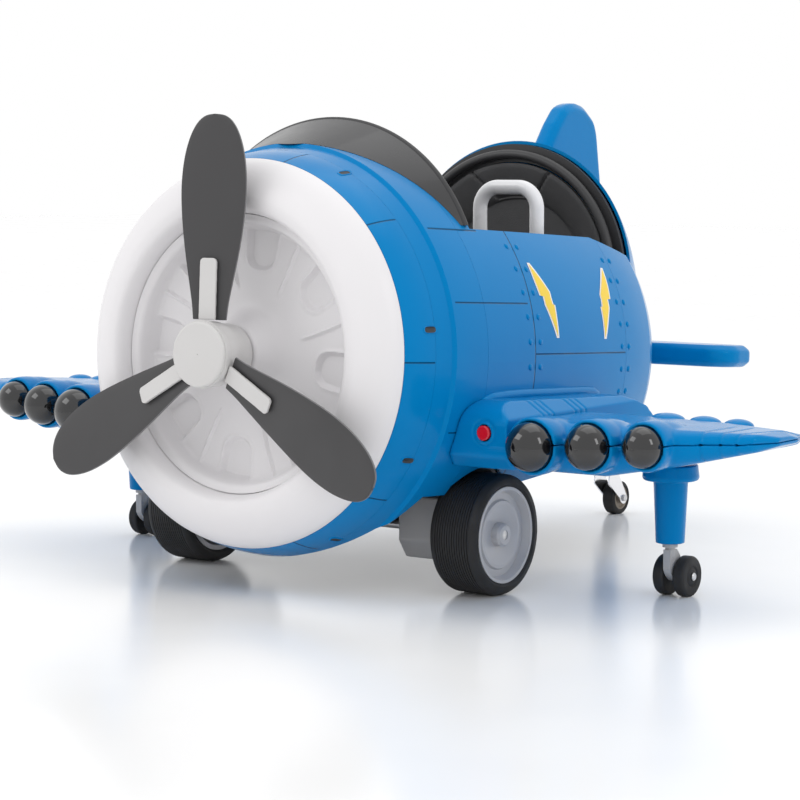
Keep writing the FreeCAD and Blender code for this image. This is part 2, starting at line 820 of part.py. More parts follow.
# The three round engine fronts on the leading edge: centre across, station, height, radius.
ENGINES = [(363, 308, 202, 29.6), (434, 321, 205, 27.4), (500, 335, 208, 24.8)]
housings = []
sockets = []
domes = []
for across, station, height, radius in ENGINES:
    housing = turned("Housing", [
        (0, 1),
        (radius + 4.5, 1),
        (radius + 5.5, 8),
        (radius + 4, 34, 120.0),
        (radius - 10, 96, 160.0),
        (0, 96),
    ])
    housings.append(place(housing, x=across, y=station, z=height))
    socket = turned("Socket", [(0, -6), (radius + 0.4, -6), (radius + 0.4, 9.4), (0, 9.4)])
    sockets.append(place(socket, x=across, y=station, z=height))
    dome = turned("Dome", [
        (0, -radius),
        (radius, 0, radius),
        (radius, 9),
        (0, 9),
    ])
    domes.append(place(dome, x=across, y=station, z=height))
dome_set = together(*domes)
piece("engine_domes", together(dome_set, mirror(dome_set)))

wing_solid = cut(fuse(wing_panel, *housings), *sockets)
above_split = slab("AboveSplit", (-20, -400, 0), (420, 400, 120))
place(above_split, x=300, y=S.datum, z=201, turn=(0, -1, 0), angle=2.3)
below_root = slab("RootSide", (0, -400, 0), (S.root_out + 0.2, 400, 400))
place(below_root, y=S.datum)
wing_outer = cut(wing_solid, below_root)
left_wing_upper = common(wing_outer, above_split)
left_wing_lower = cut(wing_outer, above_split)
piece("left_wing_upper", left_wing_upper)
piece("left_wing_lower", left_wing_lower)
piece("right_wing_upper", mirror(left_wing_upper))
piece("right_wing_lower", mirror(left_wing_lower))

wing_root = body("WingRoot")
pad(wing_root, outline(wing_root, "YZ_Plane", [
    (334, 168),
    (317, 184),
    (316, 222),
    (332, 243, -26.0),
    (360, 249, -60.0),
    (600, 238),
    (646, 222),
    (668, 204),
    (668, 188),
    (642, 168),
], at=S.root_in), S.root_out - S.root_in)
shoulder = body("Shoulder")
pad(shoulder, outline(shoulder, "XZ_Plane", [(292, 258), (330, 226), (330, 280), (292, 280)],
                      at=-290), 470, back=True)
place(shoulder)
button_at = (292.0, 316.3, 213.0)
button_well = rings(wing_root, "XZ_Plane", [(button_at[0], button_at[2], S.button_rad + 0.4)],
                    at=-button_at[1] + 4)
pocket(wing_root, button_well, 14)
place(wing_root)
left_wing_root = cut(wing_root, shoulder, outer_room)
piece("left_wing_root", left_wing_root)
piece("right_wing_root", mirror(left_wing_root))

horn_button = turned("HornButton", [
    (0, -3), (S.button_rad - 1.5, -3), (S.button_rad, -1.5), (S.button_rad, 6.4), (0, 6.4),
])
place(horn_button, x=button_at[0], y=button_at[1], z=button_at[2])
piece("left_horn_button", horn_button)
piece("right_horn_button", mirror(horn_button))

# ---------------------------------------------------------------- wing legs and casters

leg_top = S.wing_bottom - 0.3
leg = turned("Leg", [
    (0, leg_top - S.leg_bottom),
    (33.5, leg_top - S.leg_bottom),
    (35.5, 82),
    (33.5, 78),
    (21.5, 78),
    (18, 0),
    (S.stem_rad + S.running, 0),
    (S.stem_rad + S.running, 46),
    (0, 46),
])
place(leg, x=S.leg_across, y=S.leg_at, z=S.leg_bottom, turn=(1, 0, 0), angle=90)
piece("wing_legs", together(leg, mirror(leg)))

# Drawn about the swivel axis with the floor at 0; the wheels trail behind the stem.
stem = body("CasterStem")
stem_rod = rings(stem, "XY_Plane", [(0, 0, S.stem_rad)], at=S.leg_bottom - 18)
pad(stem, stem_rod, 63)
collar = rings(stem, "XY_Plane", [(0, 0, 9.5)], at=S.leg_bottom - 5)
pad(stem, collar, 4.7)
yoke = outline(stem, "YZ_Plane", [
    (-8, 60),
    (-8, 36),
    (S.caster_trail - 9, S.caster_rad - 6, 30.0),
    (S.caster_trail + 6, S.caster_rad - 6),
    (S.caster_trail + 9, S.caster_rad + 2),
    (8, 60, 60.0),
])
pad(stem, yoke, 10, side="Symmetric")
axle_hole = rings(stem, "YZ_Plane", [
    (S.caster_trail, S.caster_rad, S.axle_rad + S.running),
], at=-10)
pocket(stem, axle_hole, 20, back=True)
place(stem, x=S.leg_across, y=S.leg_at)
piece("left_caster_stem", stem)
piece("right_caster_stem", mirror(stem))

axle_at = S.leg_at + S.caster_trail
caster_axle = turned("CasterAxle", [
    (-25, 0), (-25, 4), (-24, 5), (-23.3, 5), (-23.3, S.axle_rad),
    (23.3, S.axle_rad), (23.3, 5), (24, 5), (25, 4), (25, 0),
], axis="H_Axis")
place(caster_axle, x=S.leg_across, y=axle_at, z=S.caster_rad)
piece("left_caster_axle", caster_axle)
piece("right_caster_axle", mirror(caster_axle))

caster_bore = S.axle_rad + S.running
twin = []
for side in (-1, 1):
    wheel = turned("CasterWheel", [
        (side * 6.5, caster_bore),
        (side * 6.5, S.caster_rad - 3),
        (side * 9.5, S.caster_rad, side * -3.2),
        (side * 18.0, S.caster_rad),
        (side * 22.0, S.caster_rad - 4, side * -4.2),
        (side * 22.0, 14),
        (side * 20.5, 12),
        (side * 22.5, 8),
        (side * 22.5, caster_bore),
    ], axis="H_Axis")
    twin.append(place(wheel, x=S.leg_across, y=axle_at, z=S.caster_rad))
left_caster_wheels = together(*twin)
piece("left_caster_wheels", left_caster_wheels)
piece("right_caster_wheels", mirror(left_caster_wheels))

# ---------------------------------------------------------------- main wheels and drive

inner, outer, radius = S.wheel_in, S.wheel_out, S.wheel_rad
tyre = turned("Tyre", [
    (inner + 3, S.rim_rad + 0.2),
    (inner, S.rim_rad + 5),
    (inner + 1, radius - 8),
    (inner + 9, radius, -10.0),
    (outer - 9, radius),
    (outer - 1, radius - 8, -10.0),
    (outer, S.rim_rad + 5),
    (outer - 3, S.rim_rad + 0.2),
], axis="H_Axis")
place(tyre, y=S.wheel_at, z=radius)
piece("left_tyre", tyre)
piece("right_tyre", mirror(tyre))

rim_bore = S.shaft_rad + S.running
rim = turned("Rim", [
    (inner + 2, rim_bore),
    (inner + 2, 18),
    (outer - 26, 22),
    (outer - 20, 52),
    (inner + 2, 54),
    (inner + 2, S.rim_rad),
    (outer - 2, S.rim_rad),
    (outer - 2, 56),
    (outer - 12, 52),
    (outer - 12, 44),
    (outer - 9, 42),
    (outer - 9, 38),
    (outer - 14, 15),
    (outer - 6, 14.5),
    (outer - 3, 12),
    (outer - 3, rim_bore),
], axis="H_Axis")
place(rim, y=S.wheel_at, z=radius)
piece("left_rim", rim)
piece("right_rim", mirror(rim))

axle_reach = S.wheel_out - 4
drive_axle = body("DriveAxle")
pad(drive_axle, rings(drive_axle, "YZ_Plane", [(0, 0, S.shaft_rad)]), axle_reach * 2,
    side="Symmetric")
place(drive_axle, y=S.wheel_at, z=S.wheel_rad)
piece("drive_axle", drive_axle)

gearbox = body("Gearbox")
pad(gearbox, outline(gearbox, "YZ_Plane", [
    (380, 118.5), (377, 62), (394, 38), (430, 38), (448, 60), (455, 90), (455, 118.5),
], at=122), 70)
gearbox_bore = rings(gearbox, "YZ_Plane", [
    (S.wheel_at, S.wheel_rad, S.shaft_rad + S.running),
], at=90)
pocket(gearbox, gearbox_bore, 120, back=True)
place(gearbox)
piece("gearboxes", together(gearbox, mirror(gearbox)))

drive_motor = body("DriveMotor")
pad(drive_motor, rings(drive_motor, "YZ_Plane", [(434, 116.5, 17)], at=36), 77)
place(drive_motor)
piece("drive_motors", together(drive_motor, mirror(drive_motor)))

# ---------------------------------------------------------------- chassis and battery

spine = body("Spine")
pad(spine, outline(spine, "YZ_Plane", [
    (306, -189), (430, -189), (456, -158), (470, -158), (700, -127), (850, -109), (1036, -86.4),
    (1036, -72.4), (850, -95.6), (700, -114), (470, -144), (450, -144), (424, -176), (306, -176),
]), 44, side="Symmetric")
on_fuselage(spine)
tray = on_fuselage(slab("Tray", (-78, 305, -179), (78, 392, -175)))
post = on_fuselage(slab("Post", (-22, 396, -180), (22, 412, -150)))
cross_beam = on_fuselage(slab("CrossBeam", (-184, 396, -161.2), (184, 412, -149)))
piece("chassis", fuse(spine, tray, post, cross_beam))

battery = on_fuselage(slab("Battery", (-75, 307, -174.7), (75, 390, -92)))
piece("battery", battery)

# ---------------------------------------------------------------- tail surfaces



def drawn_in(points, amount):
    """The same outline with every point moved towards its middle."""
    middle = V(
        sum(point[0] for point in points) / len(points),
        sum(point[1] for point in points) / len(points),
        0,
    )
    result = []
    for point in points:
        spot = V(point[0], point[1], 0)
        spot += (middle - spot).normalize() * amount
        result.append((spot.x, spot.y, *point[2:]))
    return result


def plump(name, plane, points, middle, half):
    """A flat moulding with bevelled edges: four lofted copies of its outline."""
    owner = body(name)
    layers = [
        outline(owner, plane, drawn_in(points, inset), at=middle + offset)
        for offset, inset in ((-half, 9), (8 - half, 0), (half - 8, 0), (half, 9))
    ]
    feature = owner.newObject("PartDesign::AdditiveLoft", "Loft")
    feature.Profile = layers[0]
    feature.Sections = layers[1:]
    feature.Ruled = True
    owner.Tip = feature
    return owner


tail_clear = fuse(
    tail_cone("TailClear", -0.3, S.mid_back + S.seam),
    deck("DeckClear", -0.3, S.arch_at),
)
fin_blank = place(plump("FinBlank", "YZ_Plane", [
    (866, 495), (893, 560), (916, 590), (938, 612), (966, 619.5, -60.0),
    (998, 614, -70.0), (1020, 599), (1032, 572, -60.0), (1041, 518), (1052, 430),
    (1058, 360), (900, 400),
], 0, 16))
piece("fin", cut(fin_blank, tail_clear))

tailplane = on_fuselage(plump("Tailplane", "XY_Plane", [
    (30, 1008), (200, 1024), (238, 1060, 42.0), (238, 1090), (216, 1110, 26.0), (30, 1120),
], -1, 16))
left_tailplane = cut(tailplane, tail_clear)
piece("left_tailplane", left_tailplane)
piece("right_tailplane", mirror(left_tailplane))

# ---------------------------------------------------------------- tail caster

tail_leg = turned("TailLeg", [(0, 0), (17, 0), (23, 130), (0, 130)])
place(tail_leg, y=S.tail_leg_at, z=72, turn=(1, 0, 0), angle=90)
piece("tail_leg", cut(tail_leg, tail_clear, spine))

caster_plate = body("CasterPlate")
pad(caster_plate, rings(caster_plate, "XY_Plane", [(0, 0, 17)], at=67.5), 4.3)
pad(caster_plate, rings(caster_plate, "XY_Plane", [(0, 0, S.axle_rad)], at=60), 7.5)
place(caster_plate, y=S.tail_leg_at)
piece("tail_caster_plate", caster_plate)

tail_fork = body("TailFork")
pad(tail_fork, rings(tail_fork, "XY_Plane", [(0, 0, 16.5)], at=63), 4.2)
crown_hole = rings(tail_fork, "XY_Plane", [(0, 0, S.axle_rad + S.running)], at=70)
arm = [
    (-12, 63.2), (-14, 50), (S.tail_trail - 12, S.tail_wheel_rad + 1),
    (S.tail_trail, S.tail_wheel_rad - 9, 14.0), (S.tail_trail + 8, S.tail_wheel_rad + 3, 9.0),
    (14, 63.2),
]
for low in (-14, 11.5):
    pad(tail_fork, outline(tail_fork, "YZ_Plane", arm, at=low), 2.5)
pocket(tail_fork, crown_hole, 9)
fork_hole = rings(tail_fork, "YZ_Plane", [
    (S.tail_trail, S.tail_wheel_rad, S.axle_rad + S.running),
], at=-20)
pocket(tail_fork, fork_hole, 40, back=True)
place(tail_fork, y=S.tail_leg_at)
piece("tail_caster_fork", tail_fork)

tail_axle = turned("TailAxle", [
    (-17, 0), (-17, 5), (-14.3, 5), (-14.3, S.axle_rad),
    (14.3, S.axle_rad), (14.3, 5), (17, 5), (17, 0),
], axis="H_Axis")
tail_axle_at = S.tail_leg_at + S.tail_trail
place(tail_axle, y=tail_axle_at, z=S.tail_wheel_rad)
piece("tail_caster_axle", tail_axle)

tail_tyre = turned("TailTyre", [
    (-9, 17.7), (-10.5, 20), (-8, S.tail_wheel_rad, -6.0),
    (8, S.tail_wheel_rad), (10.5, 20, -6.0), (9, 17.7),
], axis="H_Axis")
place(tail_tyre, y=tail_axle_at, z=S.tail_wheel_rad)
piece("tail_caster_tyre", tail_tyre)

tail_hub = turned("TailHub", [
    (-10, caster_bore), (-10, 7), (-6, 9), (-6, 14), (-9, 15.5), (-9, 17.5),
    (9, 17.5), (9, 15.5), (6, 14), (6, 9), (10, 7), (10, caster_bore),
], axis="H_Axis")
place(tail_hub, y=tail_axle_at, z=S.tail_wheel_rad)
piece("tail_caster_hub", tail_hub)

# ---------------------------------------------------------------- propeller

prop_hub = turned("PropHub", [
    (S.prop_shaft_rad, S.hub_front + 8),
    (S.prop_shaft_rad, S.boss_at - 3),
    (32, S.boss_at - 3),
    (S.barrel_rad, S.boss_at - 8),
    (S.barrel_rad, S.blade_at + 12),
    (S.hub_rad - 1.4, S.blade_at + 10),
    (S.hub_rad - 1.4, S.hub_front + 14),
    (S.hub_rad, S.hub_front + 13),
    (S.hub_rad, S.hub_front + 2.5),
    (S.hub_rad - 2.5, S.hub_front),
    (0, S.hub_front),
    (0, S.hub_front + 8),
])
on_fuselage(prop_hub)
piece("prop_hub", prop_hub)

prop_shaft = body("PropShaft")
pad(prop_shaft, rings(prop_shaft, "XZ_Plane", [(0, 0, S.prop_shaft_rad)],
                      at=0 - S.hub_front - 8.2), 118, back=True)
on_fuselage(prop_shaft)
piece("prop_shaft", prop_shaft)

root_at = S.hub_rad + 0.4


def on_hub(obj, turn, twist):
    """Place something drawn pointing up from the hub, at one blade's turn and pitch."""
    pitched = FreeCAD.Rotation(V(-1, 0, 0), number(S.pitch))
    turned_by = FreeCAD.Rotation(V(0, 1, 0), turn)
    twisted = FreeCAD.Rotation(V(0, 0, 1), twist)
    middle = pitched.multVec(V(0, number(S.blade_at) - 2, 0))
    base = middle + V(0, -number(S.datum), number(S.axis_rise))
    obj.Placement = FreeCAD.Placement(base, pitched * turned_by * twisted)
    return obj


def blade(turn):
    owner = body("Blade")
    shape = outline(owner, "XZ_Plane", [
        (-24, root_at, 330.0),
        (24, root_at),
        (S.blade_wide, 196, 330.0),
        (28, S.blade_tip - 13, 130.0),
        (0, S.blade_tip, 42.0),
        (-28, S.blade_tip - 13, 42.0),
        (0 - S.blade_wide, 196, 130.0),
    ])
    pad(owner, shape, S.blade_thick, side="Symmetric")
    return on_hub(owner, turn, number(S.blade_pitch))


def blade_clip(turn):
    owner = body("BladeClip")
    half = S.clip_wide * 0.5
    shape = outline(owner, "XZ_Plane", [
        (0 - half, root_at),
        (half, root_at),
        (half, S.clip_reach - 5),
        (half - 5, S.clip_reach, 5.2),
        (5 - half, S.clip_reach),
        (0 - half, S.clip_reach - 5, 5.2),
    ], at=S.blade_thick * 0.5 + 0.1)
    pad(owner, shape, 4)
    return on_hub(owner, turn, number(S.blade_pitch))


TURNS = (0, 120, 240)
piece("prop_blades", together(*[blade(turn) for turn in TURNS]))
piece("blade_clips", together(*[blade_clip(turn) for turn in TURNS]))

# ---------------------------------------------------------------- checks and files

DOC.recompute()
failed = [
    f"{obj.Name} ({obj.Label})" for obj in DOC.Objects
    if any(word in obj.State for word in ("Invalid", "Error"))
]
if failed:
    raise RuntimeError(f"failed: {failed}")
for label, obj in PIECES.items():
    shape = obj.Shape
    if shape.isNull() or not shape.isValid() or not shape.Solids:
        raise RuntimeError(f"{label}: no valid solid")
    if min(solid.Volume for solid in shape.Solids) < 1.0:
        raise RuntimeError(f"{label}: a sliver is left over")

os.makedirs("parts", exist_ok=True)
for label, obj in PIECES.items():
    obj.Shape.exportStep(f"parts/{label}.step")
    extent = obj.Shape.BoundBox
    print(
        f"{label:24s} {len(obj.Shape.Solids):2d} solids "
        f"X {extent.XMin:7.1f} {extent.XMax:7.1f}  Y {extent.YMin:7.1f} {extent.YMax:7.1f}  "
        f"Z {extent.ZMin:6.1f} {extent.ZMax:6.1f}  {obj.Shape.Volume / 1000:9.1f} cm3"
    )
print(len(PIECES), "pieces")
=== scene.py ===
import json
import math

import bmesh
import bpy
from mathutils import Matrix, Vector


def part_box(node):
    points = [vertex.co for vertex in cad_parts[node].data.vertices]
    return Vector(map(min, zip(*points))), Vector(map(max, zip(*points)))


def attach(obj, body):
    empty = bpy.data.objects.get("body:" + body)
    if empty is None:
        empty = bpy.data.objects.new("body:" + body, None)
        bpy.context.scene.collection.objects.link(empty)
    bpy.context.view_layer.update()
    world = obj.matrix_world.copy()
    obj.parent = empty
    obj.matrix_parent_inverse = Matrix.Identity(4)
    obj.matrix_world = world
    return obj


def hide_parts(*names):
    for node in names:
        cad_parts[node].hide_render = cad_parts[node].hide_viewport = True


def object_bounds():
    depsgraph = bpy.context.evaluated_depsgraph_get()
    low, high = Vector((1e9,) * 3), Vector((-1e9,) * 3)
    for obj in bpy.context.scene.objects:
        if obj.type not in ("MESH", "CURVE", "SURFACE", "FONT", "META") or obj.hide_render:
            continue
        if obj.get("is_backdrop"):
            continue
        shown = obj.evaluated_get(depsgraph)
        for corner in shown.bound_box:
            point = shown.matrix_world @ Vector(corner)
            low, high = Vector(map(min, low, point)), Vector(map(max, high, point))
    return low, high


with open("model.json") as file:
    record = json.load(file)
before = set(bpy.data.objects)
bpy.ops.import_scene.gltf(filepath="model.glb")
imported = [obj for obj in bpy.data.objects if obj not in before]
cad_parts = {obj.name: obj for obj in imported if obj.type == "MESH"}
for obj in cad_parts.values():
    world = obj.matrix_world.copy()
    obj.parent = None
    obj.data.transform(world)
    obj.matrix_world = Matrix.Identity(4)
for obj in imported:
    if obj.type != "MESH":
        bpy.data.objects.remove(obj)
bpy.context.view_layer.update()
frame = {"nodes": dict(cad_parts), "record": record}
NODES = frame["nodes"]

# ---------------------------------------------------------------- the fuselage's own frame

# Lengths are in metres. A station is a distance along the fuselage axis, which is pitched nose up.
DATUM = 0.638
RISE = 0.3127
PITCH = math.radians(3.1)
COWL_SEAM = 0.273
COWL_BACK = 0.365
MID_BACK = 0.715
TAIL_SHOULDER = 0.800
COWL_SEAM_RADIUS = 0.2525
COWL_BACK_RADIUS = 0.266
MID_BACK_RADIUS = 0.2525
ARCH_RISE = 0.103


def on_body(x, station, height):
    """A point of the pitched fuselage frame (station, height from its axis) in the part's frame."""
    along = station * math.cos(PITCH) + height * math.sin(PITCH) - DATUM
    return Vector((x, along, RISE - station * math.sin(PITCH) + height * math.cos(PITCH)))


def around(radius, angle, station, height=0.0):
    """A point at an angle from the top of a circle about the fuselage axis."""
    return on_body(radius * math.sin(angle), station, height + radius * math.cos(angle))


def bulge(part):
    """A bow that is 0 at 0 and 1, and 1 halfway."""
    return 1 - (2 * part - 1) ** 2


def shell_radius(station):
    """Outer radius of the blue shell at a station."""
    if station < MID_BACK:
        part = (station - COWL_BACK) / (MID_BACK - COWL_BACK)
        return COWL_BACK_RADIUS - 0.0135 * part + 0.00383 * bulge(part)
    part = (station - MID_BACK) / (TAIL_SHOULDER - MID_BACK)
    return MID_BACK_RADIUS - 0.0125 * part + 0.0013 * bulge(part)


# ---------------------------------------------------------------- camera and light

scene = bpy.context.scene
camera = bpy.data.objects.new("camera", bpy.data.cameras.new("camera"))
scene.collection.objects.link(camera)
camera.data.lens = 112.65
camera.data.sensor_width = 36.0
camera.data.clip_end = 60.0
camera.location = (1.9491, -2.7912, 0.5388)
azimuth = math.radians(35.79)
down = math.radians(5.5)
heading = Vector((
    -math.sin(azimuth) * math.cos(down),
    math.cos(azimuth) * math.cos(down),
    -math.sin(down),
))
camera.rotation_euler = heading.to_track_quat("-Z", "Y").to_euler()
scene.camera = camera

world = bpy.data.worlds.new("studio")
scene.world = world
world.use_nodes = True
world.node_tree.nodes["Background"].inputs[0].default_value = (1.0, 1.0, 1.0, 1)
world.node_tree.nodes["Background"].inputs[1].default_value = 1.0
scene.view_settings.view_transform = "Standard"
scene.view_settings.look = "None"


def softbox(name, place, aim, size, power):
    light = bpy.data.lights.new(name, "AREA")
    light.shape = "RECTANGLE"
    light.size = size[0]
    light.size_y = size[1]
    light.energy = power
    lamp = bpy.data.objects.new(name, light)
    lamp.location = place
    lamp.rotation_euler = (Vector(aim) - Vector(place)).to_track_quat("-Z", "Y").to_euler()
    scene.collection.objects.link(lamp)


softbox("key", (-1.9, -2.6, 3.0), (0, 0, 0.3), (2.2, 1.6), 24)
softbox("side", (3.4, -0.6, 2.0), (0.2, 0, 0.3), (0.7, 1.6), 12)
softbox("top", (0.2, 0.5, 3.4), (0, 0, 0.2), (2.6, 2.6), 15)

# ---------------------------------------------------------------- materials


class Recipe:
    """A procedural material: a Principled shader and small helpers for the nodes that feed it."""

    def __init__(self, name, color, rough, metal=0.0, **sockets):
        self.material = bpy.data.materials.new(name)
        self.material.use_nodes = True
        self.tree = self.material.node_tree
        self.shader = self.tree.nodes["Principled BSDF"]
        self.color = color
        self.set("Base Color", (*color, 1))
        self.set("Roughness", rough)
        self.set("Metallic", metal)
        for socket, value in sockets.items():
            self.set(socket.replace("_", " "), value)
        self.where = self.node("ShaderNodeTexCoord").outputs["Object"]
        self.height = None

    def set(self, socket, value):
        self.shader.inputs[socket].default_value = value

    def node(self, kind, **settings):
        made = self.tree.nodes.new(kind)
        for key, value in settings.items():
            setattr(made, key, value)
        return made

    def link(self, source, target):
        self.tree.links.new(source, target)

    def math(self, operation, first, second=None):
        made = self.node("ShaderNodeMath", operation=operation)
        for socket, value in zip(made.inputs, (first, second)):
            if value is None:
                continue
            if isinstance(value, (int, float)):
                socket.default_value = value
            else:
                self.link(value, socket)
        return made.outputs[0]

    def noise(self, scale, detail=2.0, stretch=None):
        made = self.node("ShaderNodeTexNoise")
        made.inputs["Scale"].default_value = scale
        made.inputs["Detail"].default_value = detail
        where = self.where
        if stretch:
            mapping = self.node("ShaderNodeMapping")
            mapping.inputs["Scale"].default_value = stretch
            self.link(where, mapping.inputs["Vector"])
            where = mapping.outputs[0]
        self.link(where, made.inputs["Vector"])
        return made.outputs["Fac"]

    def ramp(self, value, low, high, to_low=0.0, to_high=1.0):
        made = self.node("ShaderNodeMapRange", interpolation_type="SMOOTHSTEP")
        self.link(value, made.inputs["Value"])
        made.inputs["From Min"].default_value = low
        made.inputs["From Max"].default_value = high
        made.inputs["To Min"].default_value = to_low
        made.inputs["To Max"].default_value = to_high
        return made.outputs["Result"]

    def raise_by(self, value, amount):
        """Add a value times an amount in metres to the surface height."""
        part = self.math("MULTIPLY", value, amount)
        self.height = part if self.height is None else self.math("ADD", self.height, part)

    def tint(self, value, amount):
        """Vary the base colour a little, lighter and darker, with a value from 0 to 1."""
        mix = self.node("ShaderNodeMix", data_type="RGBA")
        darker = [channel * (1 - amount) for channel in self.color]
        lighter = [min(1.0, channel * (1 + amount) + 0.02 * amount) for channel in self.color]
        mix.inputs["A"].default_value = (*darker, 1)
        mix.inputs["B"].default_value = (*lighter, 1)
        self.link(value, mix.inputs["Factor"])
        self.link(mix.outputs["Result"], self.shader.inputs["Base Color"])
        return mix.outputs["Result"]

    def paint_shade(self, color, mask, amount):
        """Bring the colour down to an amount of the base colour where the mask is 1, as painted shade.
        """
        mix = self.node("ShaderNodeMix", data_type="RGBA")
        mix.inputs["B"].default_value = (*[channel * amount for channel in self.color], 1)
        self.link(color, mix.inputs["A"])
        self.link(mask, mix.inputs["Factor"])
        self.link(mix.outputs["Result"], self.shader.inputs["Base Color"])

    def rough_between(self, value, low, high):
        self.link(self.ramp(value, 0.3, 0.7, low, high), self.shader.inputs["Roughness"])

    def finish(self, strength=1.0):
        if self.height is not None:
            bump = self.node("ShaderNodeBump")
            bump.inputs["Strength"].default_value = strength
            bump.inputs["Distance"].default_value = 1.0
            self.link(self.height, bump.inputs["Height"])
            self.link(bump.outputs[0], self.shader.inputs["Normal"])
        return self.material


def moulded(name, color, low, high, grain=0.00002, scale=900.0, spread=0.05, **sockets):
    """Injection-moulded plastic: a faint waviness, a fine grain and uneven gloss."""
    recipe = Recipe(name, color, (low + high) / 2, **sockets)
    recipe.tint(recipe.noise(6.0, 3.0), spread)
    recipe.rough_between(recipe.noise(14.0, 4.0), low, high)
    recipe.raise_by(recipe.noise(scale, 2.0), grain)
    recipe.raise_by(recipe.noise(22.0, 1.0), 0.00012)
    return recipe


def body_frame(recipe):
    """Outputs for the sideways distance, station and height in the fuselage's own frame."""
    split = recipe.node("ShaderNodeSeparateXYZ")
    recipe.link(recipe.where, split.inputs[0])
    across = recipe.math("ABSOLUTE", split.outputs[0])
    along = recipe.math("ADD", split.outputs[1], DATUM)
    up = recipe.math("SUBTRACT", split.outputs[2], RISE)
    station = recipe.math(
        "SUBTRACT",
        recipe.math("MULTIPLY", along, math.cos(PITCH)),
        recipe.math("MULTIPLY", up, math.sin(PITCH)),
    )
    height = recipe.math(
        "ADD",
        recipe.math("MULTIPLY", along, math.sin(PITCH)),
        recipe.math("MULTIPLY", up, math.cos(PITCH)),
    )
    return across, station, height


def groove(recipe, value, at, half, mask=None):
    """1 on a line where value is near at, 0 elsewhere."""
    offset = recipe.math("ABSOLUTE", recipe.math("SUBTRACT", value, at))
    line = recipe.ramp(offset, 0.0, half, 1.0, 0.0)
    return line if mask is None else recipe.math("MULTIPLY", line, mask)


def between(recipe, value, low, high):
    above = recipe.math("GREATER_THAN", value, low)
    below = recipe.math("LESS_THAN", value, high)
    return recipe.math("MULTIPLY", above, below)


def total(recipe, lines):
    result = lines[0]
    for line in lines[1:]:
        result = recipe.math("MAXIMUM", result, line)
    return result


BLUE = (0.0, 0.192, 0.490)
BLUE_GLOSS = {
    "Specular_IOR_Level": 0.26,
    "Specular_Tint": (0.05, 0.60, 1.0, 1),
    "Coat_Weight": 0.05,
    "Coat_Roughness": 0.05,
}


DOOR_SEAM = 0.4725


def shell_blue():
    """The fuselage's blue, with its moulded panel lines, darkened as painted shade in the grooves."""
    recipe = Recipe("fuselage_blue", BLUE, 0.2, **BLUE_GLOSS)
    color = recipe.tint(recipe.noise(5.0, 3.0), 0.06)
    recipe.rough_between(recipe.noise(14.0, 4.0), 0.17, 0.27)
    across, station, height = body_frame(recipe)
    ahead = between(recipe, station, 0.309, 0.465)
    aside = recipe.math("GREATER_THAN", across, 0.06)
    lines = [
        groove(recipe, station, DOOR_SEAM, 0.0016, aside),
        groove(recipe, height, 0.160, 0.0014, between(recipe, station, 0.309, 0.408)),
        groove(recipe, height, 0.072, 0.0014, ahead),
        groove(recipe, height, -0.085, 0.0014, ahead),
        groove(recipe, height, 0.009, 0.0014, between(recipe, station, DOOR_SEAM, 0.713)),
    ]
    turn = recipe.math("ARCTAN2", across, height)
    on_cowl = between(recipe, station, 0.225, 0.272)
    for degrees in (12, 48, 90, 132, 160):
        lines.append(groove(recipe, turn, math.radians(degrees), 0.006, on_cowl))
    mask = total(recipe, lines)
    # Painted shade: the groove lines are darkened to a quarter of the blue, as if shade lay in them.
    recipe.paint_shade(color, mask, 0.25)
    recipe.raise_by(mask, -0.0012)
    recipe.raise_by(recipe.noise(900.0), 0.00001)
    recipe.raise_by(recipe.noise(9.0, 1.0), 0.0004)
    return recipe.finish()


def plain_blue():
    return moulded("wing_blue", BLUE, 0.15, 0.23, 0.00001, **BLUE_GLOSS).finish()


def white_plastic():
    recipe = moulded("nose_white", (0.77, 0.755, 0.77), 0.30, 0.42, 0.00002, 700.0, 0.02,
                     Specular_IOR_Level=0.3)
    return recipe.finish()


def leather(name, color):
    recipe = Recipe(name, color, 0.5, Specular_IOR_Level=0.45)
    cells = recipe.node("ShaderNodeTexVoronoi", feature="DISTANCE_TO_EDGE")
    cells.inputs["Scale"].default_value = 420.0
    warp = recipe.node("ShaderNodeMix", data_type="VECTOR")
    warp.inputs["Factor"].default_value = 0.004
    bend = recipe.node("ShaderNodeTexNoise")
    bend.inputs["Scale"].default_value = 60.0
    recipe.link(recipe.where, bend.inputs["Vector"])
    recipe.link(recipe.where, warp.inputs["A"])
    recipe.link(bend.outputs["Color"], warp.inputs["B"])
    recipe.link(warp.outputs["Result"], cells.inputs["Vector"])
    crease = recipe.ramp(cells.outputs["Distance"], 0.0, 0.12)
    recipe.tint(recipe.noise(12.0, 4.0), 0.15)
    recipe.rough_between(recipe.noise(30.0, 3.0), 0.42, 0.6)
    recipe.raise_by(crease, 0.00022)
    recipe.raise_by(recipe.noise(25.0, 2.0), 0.0006)
    return recipe.finish(0.7)


def webbing():
    recipe = Recipe("strap_webbing", (0.022, 0.022, 0.025), 0.8)
    recipe.set("Sheen Weight", 0.3)
    split = recipe.node("ShaderNodeSeparateXYZ")
    recipe.link(recipe.where, split.inputs[0])
    across = recipe.math("SINE", recipe.math("MULTIPLY", split.outputs[0], 3600.0))
    along = recipe.math("SINE", recipe.math("MULTIPLY", split.outputs[2], 3600.0))
    weave = recipe.math("MULTIPLY", across, along)
    recipe.tint(recipe.ramp(weave, -1.0, 1.0), 0.35)
    recipe.raise_by(weave, 0.00025)
    recipe.raise_by(recipe.noise(500.0, 3.0), 0.0001)
    return recipe.finish()


def rubber(name, color=(0.018, 0.018, 0.019)):
    recipe = Recipe(name, color, 0.62, Specular_IOR_Level=0.4)
    recipe.tint(recipe.noise(18.0, 4.0), 0.25)
    recipe.rough_between(recipe.noise(25.0, 4.0), 0.52, 0.75)
    recipe.raise_by(recipe.noise(1100.0, 2.0), 0.00005)
    return recipe.finish()


